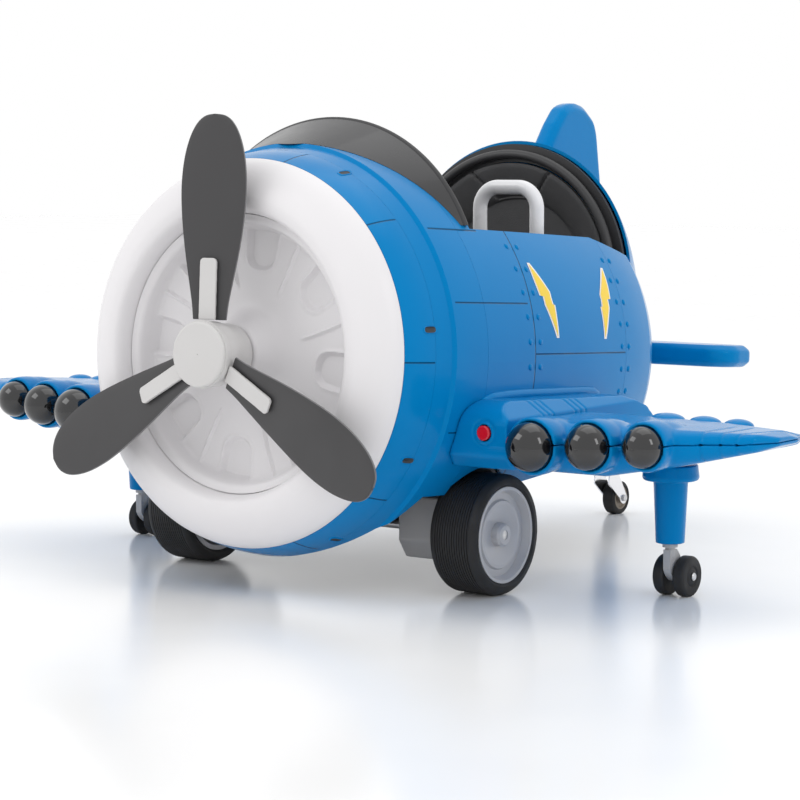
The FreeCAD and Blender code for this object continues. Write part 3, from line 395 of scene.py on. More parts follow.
def metal(name, color, low, high, stretch=(1, 1, 1)):
    recipe = Recipe(name, color, (low + high) / 2, 1.0)
    recipe.tint(recipe.noise(20.0, 3.0), 0.06)
    recipe.rough_between(recipe.noise(60.0, 4.0, stretch), low, high)
    recipe.raise_by(recipe.noise(700.0, 2.0, stretch), 0.00003)
    return recipe.finish()


MATERIALS = {
    "blue_shell": shell_blue(),
    "plain_blue": plain_blue(),
    "white_nose": white_plastic(),
    "dark_blade": moulded("blade_dark", (0.044, 0.043, 0.045), 0.38, 0.5, 0.00004, 1200.0).finish(),
    # The blades' lighter edge grey is a painted highlight along their thin edges.
    "blade_edge_highlight": moulded("blade_edge_highlight", (0.16, 0.16, 0.165), 0.35, 0.45).finish(),
    "grey_hub": moulded("hub_grey", (0.60, 0.59, 0.585), 0.32, 0.42, 0.00003, 1200.0).finish(),
    "clear_grey_visor": moulded(
        "visor_smoke", (0.022, 0.022, 0.024), 0.26, 0.36, 0.00002, Coat_Weight=0.2).finish(),
    "black_trim": moulded("trim_black", (0.026, 0.026, 0.028), 0.38, 0.52, 0.00006, 1000.0).finish(),
    "black_dome": moulded(
        "dome_black", (0.004, 0.004, 0.005), 0.05, 0.09, 0.0, Coat_Weight=0.6).finish(),
    "inner_plastic": moulded("tub_black", (0.020, 0.020, 0.022), 0.45, 0.6, 0.00008, 900.0).finish(),
    "seat_padding": leather("seat_leather", (0.062, 0.062, 0.065)),
    "webbing": webbing(),
    "silver_handle": moulded("lever_silver", (0.74, 0.74, 0.76), 0.22, 0.32, Coat_Weight=0.3).finish(),
    "red_button": moulded("button_red", (0.60, 0.006, 0.022), 0.14, 0.22, Coat_Weight=0.4).finish(),
    "light_grey": moulded("grey_plastic", (0.42, 0.42, 0.43), 0.38, 0.5, 0.00004).finish(),
    "rim_grey": moulded("rim_silver", (0.50, 0.50, 0.52), 0.3, 0.4, 0.00003, Coat_Weight=0.2).finish(),
    "black_tyre": rubber("tyre_rubber"),
    "caster_black": rubber("caster_rubber", (0.014, 0.014, 0.015)),
    "steel": metal("steel_bar", (0.60, 0.60, 0.61), 0.25, 0.4, (1, 30, 30)),
    "chrome_steel": metal("chrome_plate", (0.80, 0.80, 0.82), 0.06, 0.14),
    "black_steel": moulded("powder_black", (0.018, 0.018, 0.02), 0.4, 0.55, 0.0001, 1400.0).finish(),
    "motor_can": metal("motor_zinc", (0.45, 0.46, 0.48), 0.3, 0.45),
    "battery_case": moulded("battery_grey", (0.035, 0.035, 0.037), 0.4, 0.5).finish(),
    "caster_hub_grey": moulded("caster_hub", (0.25, 0.21, 0.17), 0.45, 0.55).finish(),
    "decal_yellow": moulded("decal_yellow", (0.90, 0.62, 0.03), 0.25, 0.3).finish(),
    "decal_white": moulded("decal_white", (0.85, 0.83, 0.82), 0.25, 0.3).finish(),
}

# ---------------------------------------------------------------- carried-over nodes

for entry in frame["record"]["subparts"]:
    node = NODES[entry["node"]]
    node.data.materials.clear()
    node.data.materials.append(MATERIALS[entry["material_slot"]])

# ---------------------------------------------------------------- mesh helpers


def finish_piece(obj, body, slot, replaces=(), material=None):
    """Give a new object its material, from the slot unless one is given, attach it to its body and
    hide the CAD nodes it stands for.
    """
    if not obj.data.materials:
        obj.data.materials.append(MATERIALS[material or slot])
    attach(obj, body)
    if replaces:
        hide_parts(*replaces)


def shade_smooth(mesh):
    mesh.polygons.foreach_set("use_smooth", [True] * len(mesh.polygons))


def new_object(name, verts, faces):
    mesh = bpy.data.meshes.new(name)
    mesh.from_pydata([tuple(v) for v in verts], [], faces)
    mesh.validate()
    mesh.update()
    builder = bmesh.new()
    builder.from_mesh(mesh)
    bmesh.ops.recalc_face_normals(builder, faces=builder.faces)
    builder.to_mesh(mesh)
    builder.free()
    obj = bpy.data.objects.new(name, mesh)
    scene.collection.objects.link(obj)
    shade_smooth(mesh)
    return obj


def bands(rows, steps, closed=False):
    """Quads between neighbouring rows of points, where each row is a ring of that many steps."""
    faces = []
    for row in range(rows if closed else rows - 1):
        low, high = row * steps, (row + 1) % rows * steps
        for number in range(steps):
            after = (number + 1) % steps
            faces.append((low + number, low + after, high + after, high + number))
    return faces


def grid(rows, columns):
    """Quads over an open grid of points."""
    return [
        (low, low + 1, low + columns + 1, low + columns)
        for row in range(rows - 1)
        for low in range(row * columns, (row + 1) * columns - 1)
    ]


def sharpen(obj, degrees=40.0):
    """Smooth shading that breaks at sharp edges."""
    shade_smooth(obj.data)
    obj.data.set_sharp_from_angle(angle=math.radians(degrees))
    return obj


def copy_of(node, name):
    """A new object with its own copy of a CAD node's mesh."""
    obj = NODES[node].copy()
    obj.data = NODES[node].data.copy()
    obj.name = name
    for key in list(obj.keys()):
        del obj[key]
    obj.parent = None
    obj.matrix_world = Matrix.Identity(4)
    scene.collection.objects.link(obj)
    return obj


def remesh(obj, voxel):
    made = obj.modifiers.new("remesh", "REMESH")
    made.mode = "VOXEL"
    made.voxel_size = voxel


def softened(name, node, voxel, rounds, body, slot, material=None, depth=None, reshape=None):
    """A copy of a CAD node with its edges rounded off the way a blow moulding's are.

    depth(point) says how deep a moulded groove is at a point of the surface, and
    reshape(point) where a point belongs once the softening is done."""
    obj = copy_of(node, name)
    remesh(obj, voxel)
    smooth = obj.modifiers.new("smooth", "SMOOTH")
    smooth.iterations = rounds
    smooth.factor = 0.5
    bake(obj)
    if depth:
        inward = [vertex.co - vertex.normal * depth(vertex.co) for vertex in obj.data.vertices]
        for vertex, moved in zip(obj.data.vertices, inward):
            vertex.co = moved
    if reshape:
        for vertex in obj.data.vertices:
            vertex.co = reshape(vertex.co.copy())
    obj.data.materials.clear()
    shade_smooth(obj.data)
    finish_piece(obj, body, slot, (node,), material)


def bake(obj):
    """Apply every modifier on an object."""
    bpy.context.view_layer.update()
    made = bpy.data.meshes.new_from_object(obj.evaluated_get(bpy.context.evaluated_depsgraph_get()))
    obj.modifiers.clear()
    obj.data = made


def lathe(name, profile, place, steps=128):
    """Turn (distance along the axis, radius) points; place(along, radius, angle) gives the point."""
    verts = [
        place(along, radius, 2 * math.pi * number / steps)
        for along, radius in profile
        for number in range(steps)
    ]
    return sharpen(new_object(name, verts, bands(len(profile), steps, closed=True)), 35)


def about_body(along, radius, angle):
    """Place for a lathe about the fuselage axis."""
    return around(radius, angle, along)


def about_x(x, y, z):
    """Place for a lathe about a sideways axle: along is added to x."""
    return lambda along, radius, angle: Vector((
        x + along, y + radius * math.sin(angle), z + radius * math.cos(angle),
    ))


def curve_through(points, value):
    """Smooth curve through (x, y) points, read at one x."""
    points = [points[0]] + list(points) + [points[-1]]
    for index in range(1, len(points) - 2):
        low, high = points[index], points[index + 1]
        if value <= high[0] or index == len(points) - 3:
            break
    before, after = points[index - 1], points[index + 2]
    span = high[0] - low[0]
    part = min(1.0, max(0.0, (value - low[0]) / span))
    slope_low = (high[1] - before[1]) / ((high[0] - before[0]) or span)
    slope_high = (after[1] - low[1]) / ((after[0] - low[0]) or span)
    square, cube = part * part, part * part * part
    return (
        (2 * cube - 3 * square + 1) * low[1]
        + (cube - 2 * square + part) * span * slope_low
        + (3 * square - 2 * cube) * high[1]
        + (cube - square) * span * slope_high
    )


def step(value, low, high):
    """0 below low, 1 above high, smooth between."""
    part = min(1.0, max(0.0, (value - low) / (high - low)))
    return part * part * (3 - 2 * part)


def dent(value, at, half):
    """1 at a line, falling smoothly to 0 at half away from it."""
    return 1.0 - step(abs(value - at), 0.0, half)


def pillow(u, v, power=0.5):
    """A domed pad over the unit circle."""
    inside = 1.0 - u * u - v * v
    return inside ** power if inside > 0 else 0.0


def joined(name, objects):
    """Several new objects made into one."""
    bpy.context.view_layer.update()
    builder = bmesh.new()
    slots = []
    for obj in objects:
        start = len(builder.faces)
        builder.from_mesh(obj.data)
        builder.faces.ensure_lookup_table()
        for face in builder.faces[start:]:
            material = obj.data.materials[face.material_index] if obj.data.materials else None
            if material is not None and material not in slots:
                slots.append(material)
            face.material_index = slots.index(material) if material in slots else 0
    mesh = bpy.data.meshes.new(name)
    builder.to_mesh(mesh)
    builder.free()
    for material in slots:
        mesh.materials.append(material)
    for obj in objects:
        bpy.data.objects.remove(obj)
    result = bpy.data.objects.new(name, mesh)
    scene.collection.objects.link(result)
    return result


# ---------------------------------------------------------------- nose

ringed = lathe("nose_ring_smooth", [
    (0.1870, 0.1850), (0.1862, 0.1905), (0.1872, 0.1965), (0.1905, 0.2050), (0.1955, 0.2145),
    (0.2020, 0.2238), (0.2100, 0.2318), (0.2185, 0.2372), (0.2250, 0.2396), (0.2266, 0.2397),
    (0.2268, 0.2360), (0.2380, 0.2350), (0.2380, 0.2318), (0.2300, 0.2318), (0.2200, 0.2310),
    (0.2080, 0.2230), (0.1990, 0.2080), (0.1950, 0.1930), (0.2030, 0.1790), (0.2300, 0.1776),
    (0.2395, 0.1776), (0.2395, 0.1722), (0.2100, 0.1722), (0.2050, 0.1726), (0.2000, 0.1738),
    (0.1950, 0.1758), (0.1905, 0.1786), (0.1880, 0.1815),
], about_body, steps=240)
finish_piece(ringed, "airframe", "white_nose", ("nose_ring",))

DISH = [
    (0.0051, 0.200), (0.032, 0.200), (0.0365, 0.2012), (0.040, 0.206), (0.047, 0.2175),
    (0.055, 0.2275), (0.066, 0.2325), (0.080, 0.234), (0.140, 0.234), (0.1505, 0.2338),
    (0.1550, 0.2320), (0.1578, 0.2270), (0.1592, 0.2190), (0.1604, 0.2140), (0.1630, 0.2112),
    (0.1670, 0.2098), (0.1714, 0.2090),
]


def dish_relief(radius, angle):
    """How far the moulded engine pattern stands forward of the dish's floor."""
    sector = math.pi / 4
    local = (angle + sector * 0.35) % sector - sector / 2
    sideways = radius * math.sin(local)
    fade = step(radius, 0.070, 0.084) * (1 - step(radius, 0.1525, 0.157))
    # A shallow pocket that opens towards the rim, with a round inner end.
    if radius < 0.126:
        inside = math.hypot(sideways, radius - 0.126) - 0.0200
    else:
        inside = abs(sideways) - 0.0200 - 0.10 * (radius - 0.126)
    pocket = 1 - step(inside, -0.0035, 0.0035)
    lip = dent(inside, 0.0025, 0.0045)
    # A swept rib between one pocket and the next.
    nearest = sector / 2 if local > 0 else -sector / 2
    sweep = local - nearest + 2.2 * (radius - 0.12) ** 2 + 0.6 * (radius - 0.12)
    rib = dent(radius * sweep, 0.0, 0.0038) * step(radius, 0.078, 0.092)
    return fade * (0.0016 * lip - 0.0060 * pocket + 0.0036 * rib)


def dish_point(along, radius, angle):
    """Place for the dish's lathe, with the relief on its front only."""
    front = along <= curve_through(DISH, radius) + 0.001
    lift = dish_relief(radius, angle) if front else 0.0
    return around(radius, angle, along - lift)


DISH_EDGE = 0.1714
front_radii = [0.0051, 0.014, 0.024, 0.031, 0.034, 0.0365, 0.0385]
front_radii += [0.040 + 0.0020 * index for index in range(66)]
front = [(curve_through(DISH, radius), radius) for radius in front_radii if radius < DISH_EDGE]
dish = lathe("nose_dish_engine_face", front + [
    (0.2087, DISH_EDGE), (0.222, DISH_EDGE), (0.234, 0.168), (0.2398, 0.158), (0.2398, 0.060),
    (0.234, 0.050), (0.212, 0.034), (0.212, 0.0051),
], dish_point, steps=480)
finish_piece(dish, "airframe", "white_nose", ("nose_dish",))

# ---------------------------------------------------------------- propeller

AFT = on_body(0, 1, 0) - on_body(0, 0, 0)
UP = on_body(0, 0, 1) - on_body(0, 0, 0)
BLADE_AT = 0.156
# Half widths of a blade, as (radius, half width).
BLADE = [
    (0.0416, 0.0222), (0.060, 0.0242), (0.085, 0.0288), (0.115, 0.0346), (0.150, 0.0402),
    (0.185, 0.0438), (0.210, 0.0443), (0.235, 0.0420), (0.255, 0.0372), (0.270, 0.0308),
    (0.280, 0.0236), (0.2862, 0.0154), (0.2884, 0.0082), (0.2890, 0.0015),
]


def blade_mesh(turn, index):
    """One thin propeller blade with a rounded edge and a slight twist and cup, its edge faces a
    lighter grey as a painted highlight.
    """
    radial = Vector((1, 0, 0)) * math.sin(turn) + UP * math.cos(turn)
    tangent = Vector((1, 0, 0)) * math.cos(turn) - UP * math.sin(turn)
    root = on_body(0, BLADE_AT, 0)
    section = [(part / 9 - 1, 1) for part in range(19)] + [(1.0, 0)]
    section += [(1 - part / 9, -1) for part in range(19)] + [(-1.0, 0)]
    radii = [0.0416 + 0.006 * part for part in range(38)]
    radii += [0.2680, 0.2730, 0.2772, 0.2806, 0.2834, 0.2856, 0.2872, 0.2882, 0.2888, 0.2890]
    verts = []
    for radius in radii:
        half = curve_through(BLADE, radius)
        pitch = math.radians(12.5 - 4.5 * step(radius, 0.12, 0.29))
        wide = tangent * math.cos(pitch) + AFT * math.sin(pitch)
        ahead = tangent * math.sin(pitch) - AFT * math.cos(pitch)
        for across, side in section:
            thick = 0.0019 if abs(across) < 0.999 else 0.0014
            cup = 0.0016 * across * across * step(radius, 0.05, 0.15)
            out = half + (0.0007 if side == 0 else 0.0)
            verts.append(
                root + radial * radius + wide * (across * out) + ahead * (side * thick - cup)
            )
    ring = len(section)
    faces = bands(len(radii), ring)
    faces.append(tuple(range(ring)))
    faces.append(tuple((len(radii) - 1) * ring + column for column in range(ring)))
    obj = new_object(f"blade_{index}", verts, faces)
    obj.data.materials.append(MATERIALS["dark_blade"])
    obj.data.materials.append(MATERIALS["blade_edge_highlight"])
    # Painted highlight: the faces round the blade's edge take the lighter grey, standing in for light
    # caught on the edge.
    for face in obj.data.polygons[: (len(radii) - 1) * ring]:
        column = face.index % ring
        face.material_index = 1 if column in (18, 19, ring - 2, ring - 1) else 0
    return sharpen(obj, 50)


blades = joined("propeller_blades", [
    blade_mesh(math.radians(turn), index) for index, turn in enumerate((0, 120, 240))
])
finish_piece(blades, "propeller", "dark_blade", ("prop_blades",))
softened("blade_clips_rounded", "blade_clips", 0.0008, 2, "propeller", "grey_hub")
hub = lathe("propeller_hub_turned", [
    (0.1344, 0.0006), (0.1344, 0.0360), (0.1346, 0.0378), (0.1353, 0.0390), (0.1366, 0.0399),
    (0.1380, 0.0402), (0.1384, 0.0396), (0.1394, 0.0396), (0.1398, 0.0410), (0.1410, 0.0413),
    (0.1462, 0.0413), (0.1474, 0.0409), (0.1478, 0.0398), (0.1650, 0.0398), (0.1656, 0.0376),
    (0.1672, 0.0374), (0.1915, 0.0372), (0.1940, 0.0366), (0.1958, 0.0350), (0.1968, 0.0322),
    (0.1968, 0.0052), (0.1420, 0.0052), (0.1420, 0.0006),
], about_body, steps=128)
finish_piece(hub, "propeller", "grey_hub", ("prop_hub",))

# ---------------------------------------------------------------- rivets, screws and decals


def stud(place, outward, radius, height, steps=20, rings=5):
    """A low domed rivet head."""
    aside = outward.orthogonal().normalized()
    other = outward.cross(aside)
    verts = [place + outward * height]
    faces = []
    for ring in range(1, rings + 1):
        lean = math.pi / 2 * ring / rings
        for number in range(steps):
            turn = 2 * math.pi * number / steps
            flat = (aside * math.cos(turn) + other * math.sin(turn)) * radius * math.sin(lean)
            verts.append(place + flat + outward * height * math.cos(lean))
    base = len(verts) - steps
    for number in range(steps):
        verts.append(verts[base + number] - outward * 0.0012)
    for number in range(steps):
        after = (number + 1) % steps
        faces.append((0, 1 + number, 1 + after))
        for ring in range(rings):
            low = 1 + ring * steps
            faces.append((low + number, low + steps + number, low + steps + after, low + after))
    faces.append(tuple(base + steps + number for number in reversed(range(steps))))
    return new_object("stud", verts, faces)


def outward_at(station, angle):
    """The direction that stands off the shell at a station and an angle from the top."""
    slope = (shell_radius(station + 0.002) - shell_radius(station - 0.002)) / 0.004
    flat = Vector((math.sin(angle), 0, 0)) + UP * math.cos(angle)
    return (flat - AFT * slope).normalized()


rivets = []
for side in (-1, 1):
    for station in (0.461, 0.485, 0.704, 0.7245):
        for row in range(9):
            angle = side * math.radians(57.5 + 6.8 * row)
            if station > 0.6:
                angle += side * math.radians(1.5)
            radius = shell_radius(station) - 0.0002
            place = around(radius, angle, station)
            rivets.append(stud(place, outward_at(station, angle), 0.0042, 0.0022))
finish_piece(joined("shell_rivets", rivets), "airframe", "blue_shell", material="plain_blue")


def screw_slot(station, degrees, side, radius, long_half, high_half):
    """The mouth of a deep screw recess in the cowl, with a soft rim, and a flat black disc inside as
    painted shade for the recess's depth.
    """
    angle = side * math.radians(degrees)
    verts = []
    steps = 32
    levels = [(1.18, -0.0003), (1.12, 0.0009), (1.0, 0.0011), (0.93, 0.0002), (0.0, 0.0001)]
    for scale, lift in levels:
        for number in range(steps):
            turn = 2 * math.pi * number / steps
            shape = (abs(math.cos(turn)) ** 0.6, abs(math.sin(turn)) ** 0.6)
            along = math.copysign(shape[0], math.cos(turn)) * long_half * scale
            high = math.copysign(shape[1], math.sin(turn)) * high_half * scale
            spot = station + along
            verts.append(around(radius(spot) + lift, angle + high / radius(spot), spot))
    obj = new_object("slot", verts, bands(len(levels), steps))
    obj.data.materials.append(MATERIALS["plain_blue"])
    obj.data.materials.append(MATERIALS["black_trim"])
    # Painted shade: the inner faces take the black trim, standing in for the shade deep in the recess.
    for face in obj.data.polygons:
        face.material_index = 1 if face.index >= 3 * steps else 0
    return obj


def cowl_radius(station):
    """Outer radius of the cowl at a station."""
    if station < COWL_SEAM:
        part = (station - 0.2274) / 0.0456
        return 0.240 + 0.0125 * part + 0.0016 * bulge(part)
    return COWL_SEAM_RADIUS + 0.0101 * (station - COWL_SEAM) / 0.030


slots = []
for side in (-1, 1):
    for degrees in (81, 118, 27, 152):
        slots.append(screw_slot(0.2655, degrees, side, cowl_radius, 0.0095, 0.0040))
finish_piece(joined("cowl_screw_recesses", slots), "airframe", "blue_shell")

# Plain zigzag stripes either side of the door area, as rows of (height, left edge, right edge).
ZIGZAG = [
    (0.047, -0.0170, -0.0164), (0.034, -0.0160, -0.0062), (0.022, -0.0146, 0.0030),
    (0.010, -0.0120, 0.0120), (0.0048, -0.0108, 0.0122), (0.004, -0.0034, 0.0118),
    (-0.006, -0.0030, 0.0136), (-0.0066, -0.0030, 0.0176), (-0.020, 0.0040, 0.0172),
    (-0.034, 0.0108, 0.0174), (-0.047, 0.0170, 0.0176),
]


def zigzag(station, side, flip, grow, lift, material):
    """One flat layer of a stripe; grow widens it all round for the border."""
    rows = []
    for index in range(len(ZIGZAG) - 1):
        first, second = ZIGZAG[index], ZIGZAG[index + 1]
        for part in range(4):
            rows.append([first[k] + (second[k] - first[k]) * part / 4 for k in range(3)])
    rows.append(ZIGZAG[-1])
    verts = []
    for height, left, right in rows:
        for edge, push in ((left, -grow), ((left + right) / 2, 0.0), (right, grow)):
            spot = station + flip * (edge + push)
            stretch = 1 + 0.7 * grow / 0.046
            angle = math.radians(73.0) - height * stretch / shell_radius(spot)
            verts.append(around(shell_radius(spot) + lift, side * angle, spot))
    obj = new_object("zigzag", verts, grid(len(rows), 3))
    obj.data.materials.append(MATERIALS[material])
    return obj


decals = []
for side in (-1, 1):
    for station, flip in ((0.511, 1), (0.672, -1)):
        decals.append(zigzag(station, side, flip, 0.0028, 0.00035, "decal_white"))
        decals.append(zigzag(station, side, flip, 0.0, 0.00065, "decal_yellow"))
finish_piece(joined("side_stripes", decals), "airframe", "blue_shell")

# ---------------------------------------------------------------- blow-moulded parts

BUTTON_ACROSS = 0.292
BUTTON_HEIGHT = 0.213
# The horn button's well in the softened skin, as its radius and the depths of its wall and floor.
WELL_RADIUS = 0.0102
WELL_WALL = -0.3126
WELL_FLOOR = -0.3085


def root_grooves(point):
    """Grooves across the shoulder of a wing root block and round its button."""
    station, across = point.y + DATUM, abs(point.x)
    above = step(point.z, 0.206, 0.214) * step(station, 0.335, 0.350)
    swept = station - 0.35 * (across - 0.30)
    lines = [dent(swept, at, 0.0024) for at in (0.388, 0.400, 0.412, 0.462, 0.474, 0.486)]
    ring = dent(math.hypot(across - BUTTON_ACROSS, point.z - BUTTON_HEIGHT), 0.0150, 0.0026)
    front = 1 - step(station, 0.318, 0.324)
    below = dent(point.z, 0.194, 0.0024) * front * step(across, BUTTON_ACROSS, 0.300)
    return 0.0016 * max(max(lines) * above, ring * front, below)


def open_button_well(point):
    """Keep the horn button's well clear, so that a pressed button does not cut the skin."""
    middle = math.copysign(BUTTON_ACROSS, point.x)
    off = Vector((point.x - middle, 0, point.z - BUTTON_HEIGHT))
    if off.length > WELL_RADIUS or off.length < 1e-6 or point.y > WELL_FLOOR + 0.002:
        return point
    if point.y > WELL_WALL:
        return Vector((point.x, WELL_FLOOR, point.z))
    off = off.normalized() * WELL_RADIUS
    return Vector((middle + off.x, point.y, BUTTON_HEIGHT + off.z))


def wing_grooves(point):
    """Seams across the wing outboard of the engines, and one near the tip."""
    across = abs(point.x)
    lines = [dent(across, at, 0.0026) for at in (0.5585, 0.5800)]
    tip = dent(across - 0.25 * (point.y + DATUM - 0.44), 0.6130, 0.0028)
    return 0.0014 * max(max(lines) * (1 - step(point.y + DATUM, 0.44, 0.46)), tip)


for side in ("left", "right"):
    for half in ("upper", "lower"):
        softened(f"{side}_wing_{half}_skin", f"{side}_wing_{half}", 0.0022, 5, "airframe",
                 "blue_shell", "plain_blue", wing_grooves)
    softened(f"{side}_wing_root_skin", f"{side}_wing_root", 0.0019, 6, "airframe", "blue_shell",
             "plain_blue", root_grooves, open_button_well)
    softened(f"{side}_tailplane_skin", f"{side}_tailplane", 0.0024, 8, "airframe", "blue_shell",
             "plain_blue")
softened("fin_skin", "fin", 0.0026, 8, "airframe", "blue_shell", "plain_blue")
softened("wing_legs_skin", "wing_legs", 0.0016, 3, "airframe", "blue_shell", "plain_blue")
softened("tail_leg_skin", "tail_leg", 0.0016, 4, "airframe", "blue_shell", "plain_blue")
softened("gearbox_cases", "gearboxes", 0.0018, 3, "airframe", "light_grey")

# The low domes on each wing, as (distance from the centre plane, station, radius).
DOMES = [(0.439, 0.500, 0.0215), (0.490, 0.501, 0.0200), (0.535, 0.502, 0.0185)]
bumps = []
for side in (-1, 1):
    for across, station, size in DOMES:
        spot = Vector((side * across, station - DATUM, 0.2225 - 0.02 * (across - 0.439)))
        bumps.append(stud(spot, Vector((side * 0.02, 0.05, 1)).normalized(), size, 0.0085, 40, 10))
finish_piece(joined("wing_top_domes", bumps), "airframe", "blue_shell", material="plain_blue")


def bead(name, path, radius, flat, steps=16):
    """A smooth bead swept along points, each with the direction that stands off the surface."""
    verts = []
    for index, (spot, outward) in enumerate(path):
        ahead = path[min(index + 1, len(path) - 1)][0] - path[max(index - 1, 0)][0]
        ahead.normalize()
        aside = ahead.cross(outward).normalized()
        taper = min(1.0, 0.15 + 0.85 * step(min(index, len(path) - 1 - index), 0, 5))
        for number in range(steps):
            turn = 2 * math.pi * number / steps
            offset = aside * math.cos(turn) + outward * (math.sin(turn) * flat)
            verts.append(spot + offset * radius * taper)
    faces = bands(len(path), steps)
    faces.append(tuple(reversed(range(steps))))
    faces.append(tuple((len(path) - 1) * steps + number for number in range(steps)))
    return new_object(name, verts, faces)


# The lip over a wing root on the fuselage side, as (station, height above the axis).
ROOT_LIP = [
    (0.343, -0.086), (0.346, -0.072), (0.353, -0.058), (0.364, -0.048), (0.380, -0.043),
    (0.410, -0.041), (0.450, -0.040), (0.500, -0.040), (0.550, -0.040), (0.600, -0.040),
    (0.626, -0.041), (0.640, -0.046), (0.647, -0.055),
]
lips = []
for side in (-1, 1):
    path = []
    for index in range(61):
        part = index / 60 * (len(ROOT_LIP) - 1)
        low = min(len(ROOT_LIP) - 2, int(part))
        blend = part - low
        station, height = (
            ROOT_LIP[low][k] * (1 - blend) + ROOT_LIP[low + 1][k] * blend for k in range(2)
        )
        radius = shell_radius(max(station, 0.3655)) + 0.0006
        angle = side * math.acos(height / radius)
        path.append((around(radius, angle, station), outward_at(max(station, 0.37), angle)))
    lips.append(bead("lip", path, 0.0062, 0.8))
finish_piece(joined("wing_root_lips", lips), "airframe", "blue_shell", material="plain_blue")

# ---------------------------------------------------------------- seat


def seat_relief(radius, angle):
    """How far the padded seat back stands forward of its moulded dish."""
    x, z = radius * math.sin(angle), radius * math.cos(angle)
    ring = pillow((radius - 0.136) / 0.024, 0.0) * 0.0085 if abs(angle) < 2.3 else 0.0
    centre = pillow(x / 0.070, (z + 0.040) / 0.092, 0.35) * 0.0105
    bolster = pillow((abs(x) - 0.105) / 0.036, (z + 0.020) / 0.062, 0.4) * 0.0100
    height = max(ring, centre, bolster)
    edge = abs(angle) - math.radians(19.5) - 3.0 * (radius - 0.136)
    panel_side = dent(radius * edge, 0.0, 0.0030) * step(radius, 0.114, 0.119)
    panel_low = dent(radius, 0.1165, 0.0028) * (1 - step(abs(angle), 0.26, 0.31))
    return height - 0.0045 * max(panel_side, panel_low)


SEAT = [
    (0.0006, 0.8320), (0.050, 0.8320), (0.090, 0.8300), (0.118, 0.8265), (0.140, 0.8180),
    (0.152, 0.8110), (0.1615, 0.8035),
]


def seat_point(along, radius, angle):
    """Place for the seat back's lathe, with the padding on its front only."""
    turn = (angle + math.pi) % (2 * math.pi) - math.pi
    front = along <= curve_through(SEAT, radius) + 0.0005
    lift = seat_relief(radius, turn) if front else 0.0
    return around(radius, turn, along - lift, ARCH_RISE)


seat_radii = [0.0006 + 0.0023 * index for index in range(70)] + [0.1615]
seat_front = [(curve_through(SEAT, radius), radius) for radius in seat_radii]
back = lathe("seat_back_padded", seat_front + [
    (0.8088, 0.1618), (0.819, 0.150), (0.834, 0.118), (0.8398, 0.050), (0.8398, 0.0006),
], seat_point, steps=320)
finish_piece(back, "airframe", "seat_padding", ("seat_back",))


MOST_SWELL = 0.009


def cushion():
    """The seat cushion: a crowned pad with a sewn rim, swelled by its filling."""
    obj = copy_of("seat_cushion", "seat_cushion_sewn")
    low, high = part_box("seat_cushion")
    middle = (low + high) / 2
    for vertex in obj.data.vertices:
        offset = vertex.co - middle
        vertex.co = middle + Vector((offset.x * 0.965, offset.y * 0.93, offset.z * 0.86))
    remesh(obj, 0.006)
    bake(obj)
    rest = [vertex.co.copy() for vertex in obj.data.vertices]
    cloth = obj.modifiers.new("cloth", "CLOTH")
    cloth.settings.use_pressure = True
    cloth.settings.uniform_pressure_force = 4.0
    cloth.settings.effector_weights.gravity = 0.0
    cloth.settings.quality = 6
    for moment in range(1, 21):
        scene.frame_set(moment)
    bake(obj)
    scene.frame_set(1)
    for vertex, start in zip(obj.data.vertices, rest):
        move = vertex.co - start
        if move.length > MOST_SWELL:
            vertex.co = start + move * (MOST_SWELL / move.length)
    finer = obj.modifiers.new("finer", "SUBSURF")
    finer.levels = 1
    bake(obj)
    for vertex in obj.data.vertices:
        x = abs(vertex.co.x)
        seam = dent(x, 0.088, 0.005)
        cross = dent(vertex.co.y, middle.y - 0.002, 0.005) * (1 - step(x, 0.083, 0.088))
        top = step(vertex.co.z, middle.z, middle.z + 0.02)
        vertex.co.z -= 0.006 * max(seam, cross) * top
        for axis in range(3):
            vertex.co[axis] = min(high[axis] + 0.002, max(low[axis], vertex.co[axis]))
    obj.data.materials.clear()
    shade_smooth(obj.data)
    finish_piece(obj, "airframe", "seat_padding", ("seat_cushion",))


cushion()


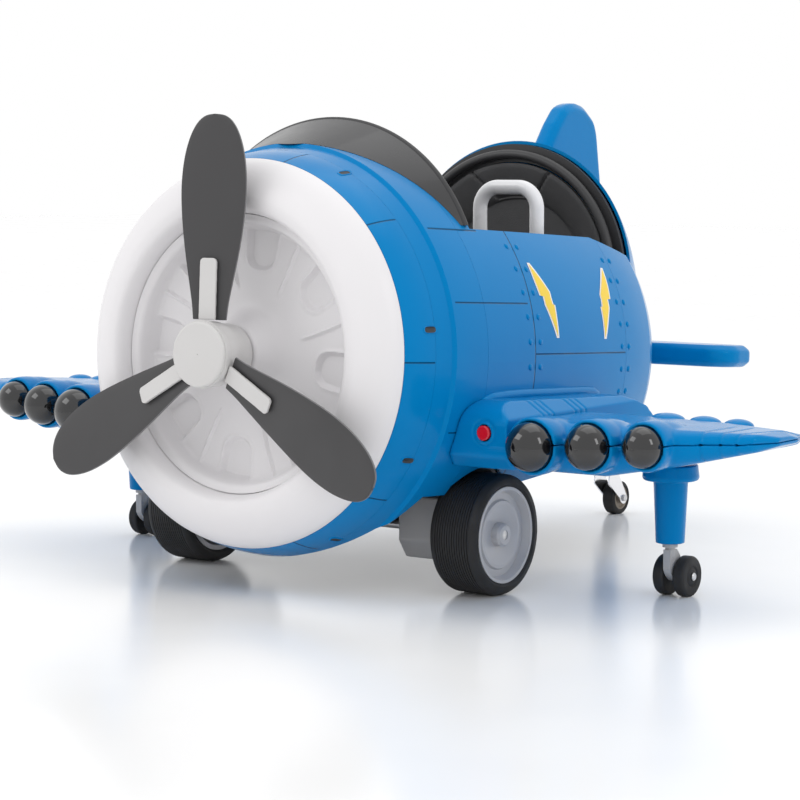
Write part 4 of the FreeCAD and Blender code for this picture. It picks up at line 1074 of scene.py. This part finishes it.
def strap(side):
    """A flat shoulder strap that follows the seat back down towards the cushion."""
    # Distance from the centre plane, height above the arch's centre, and station.
    path = [
        (0.118, 0.050, 0.8030), (0.113, 0.040, 0.7990), (0.104, 0.010, 0.7955),
        (0.095, -0.025, 0.7940), (0.086, -0.060, 0.7935), (0.078, -0.095, 0.7930),
        (0.072, -0.125, 0.7905), (0.067, -0.140, 0.7860),
    ]
    verts = []
    steps = 42
    for number in range(steps + 1):
        part = number / steps * (len(path) - 1)
        index = min(len(path) - 2, int(part))
        blend = part - index
        spot = [path[index][k] + (path[index + 1][k] - path[index][k]) * blend for k in range(3)]
        for across in range(9):
            offset = (across / 4 - 1) * 0.0150
            lift = 0.0006 * math.cos(math.pi / 2 * (across / 4 - 1))
            sideways = side * (spot[0] + offset * 0.97)
            verts.append(on_body(sideways, spot[2] - lift, ARCH_RISE + spot[1] + offset * 0.25))
    obj = new_object("strap", verts, grid(steps + 1, 9))
    thick = obj.modifiers.new("thick", "SOLIDIFY")
    thick.thickness = 0.0016
    thick.offset = 0
    finer = obj.modifiers.new("finer", "SUBSURF")
    finer.levels = 1
    bake(obj)
    obj.data.materials.clear()
    obj.data.materials.append(MATERIALS["webbing"])
    return obj


straps = joined("shoulder_straps", [strap(1), strap(-1)])
shade_smooth(straps.data)
finish_piece(straps, "airframe", "webbing", ("harness_straps",))

# ---------------------------------------------------------------- wheels

WHEEL_AT = 0.411
WHEEL_MIDDLE = 0.230
WHEEL_RADIUS = 0.0756
RIBS = 15
# One shoulder of a tyre from its bead outwards, as (distance from the middle, radius).
SHOULDER = [(0.0310, 0.0603), (0.0338, 0.0640), (0.0336, 0.0690), (0.0318, 0.0722), (0.0290, 0.0742)]

tread = []
for rib in range(RIBS):
    start = -0.0262 + 0.0036 * rib
    top = WHEEL_RADIUS - 0.0004 * (abs(start + 0.001) / 0.026) ** 2
    tread += [
        (start, top - 0.0001), (start + 0.0003, top), (start + 0.0022, top),
        (start + 0.0025, top - 0.0001),
    ]
    if rib < RIBS - 1:
        tread += [(start + 0.0027, top - 0.0013), (start + 0.0034, top - 0.0013)]
profile = [(-along, radius) for along, radius in SHOULDER] + tread + SHOULDER[::-1]
for side, name in ((1, "left"), (-1, "right")):
    where = about_x(side * WHEEL_MIDDLE, WHEEL_AT - DATUM, WHEEL_RADIUS)
    tyre = lathe(f"{name}_tyre_ribbed", profile, where, steps=180)
    finish_piece(tyre, f"{name}_wheel", "black_tyre", (f"{name}_tyre",))

# ---------------------------------------------------------------- floor

bpy.ops.mesh.primitive_plane_add(size=30.0, location=(0, 0, 0))
floor = bpy.context.object
floor.name = "floor"
ground = Recipe("studio_floor", (0.97, 0.97, 0.97), 0.20, Specular_IOR_Level=0.35)
ground.rough_between(ground.noise(3.0, 2.0), 0.16, 0.22)
floor.data.materials.append(ground.finish())
floor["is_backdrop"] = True

low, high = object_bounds()
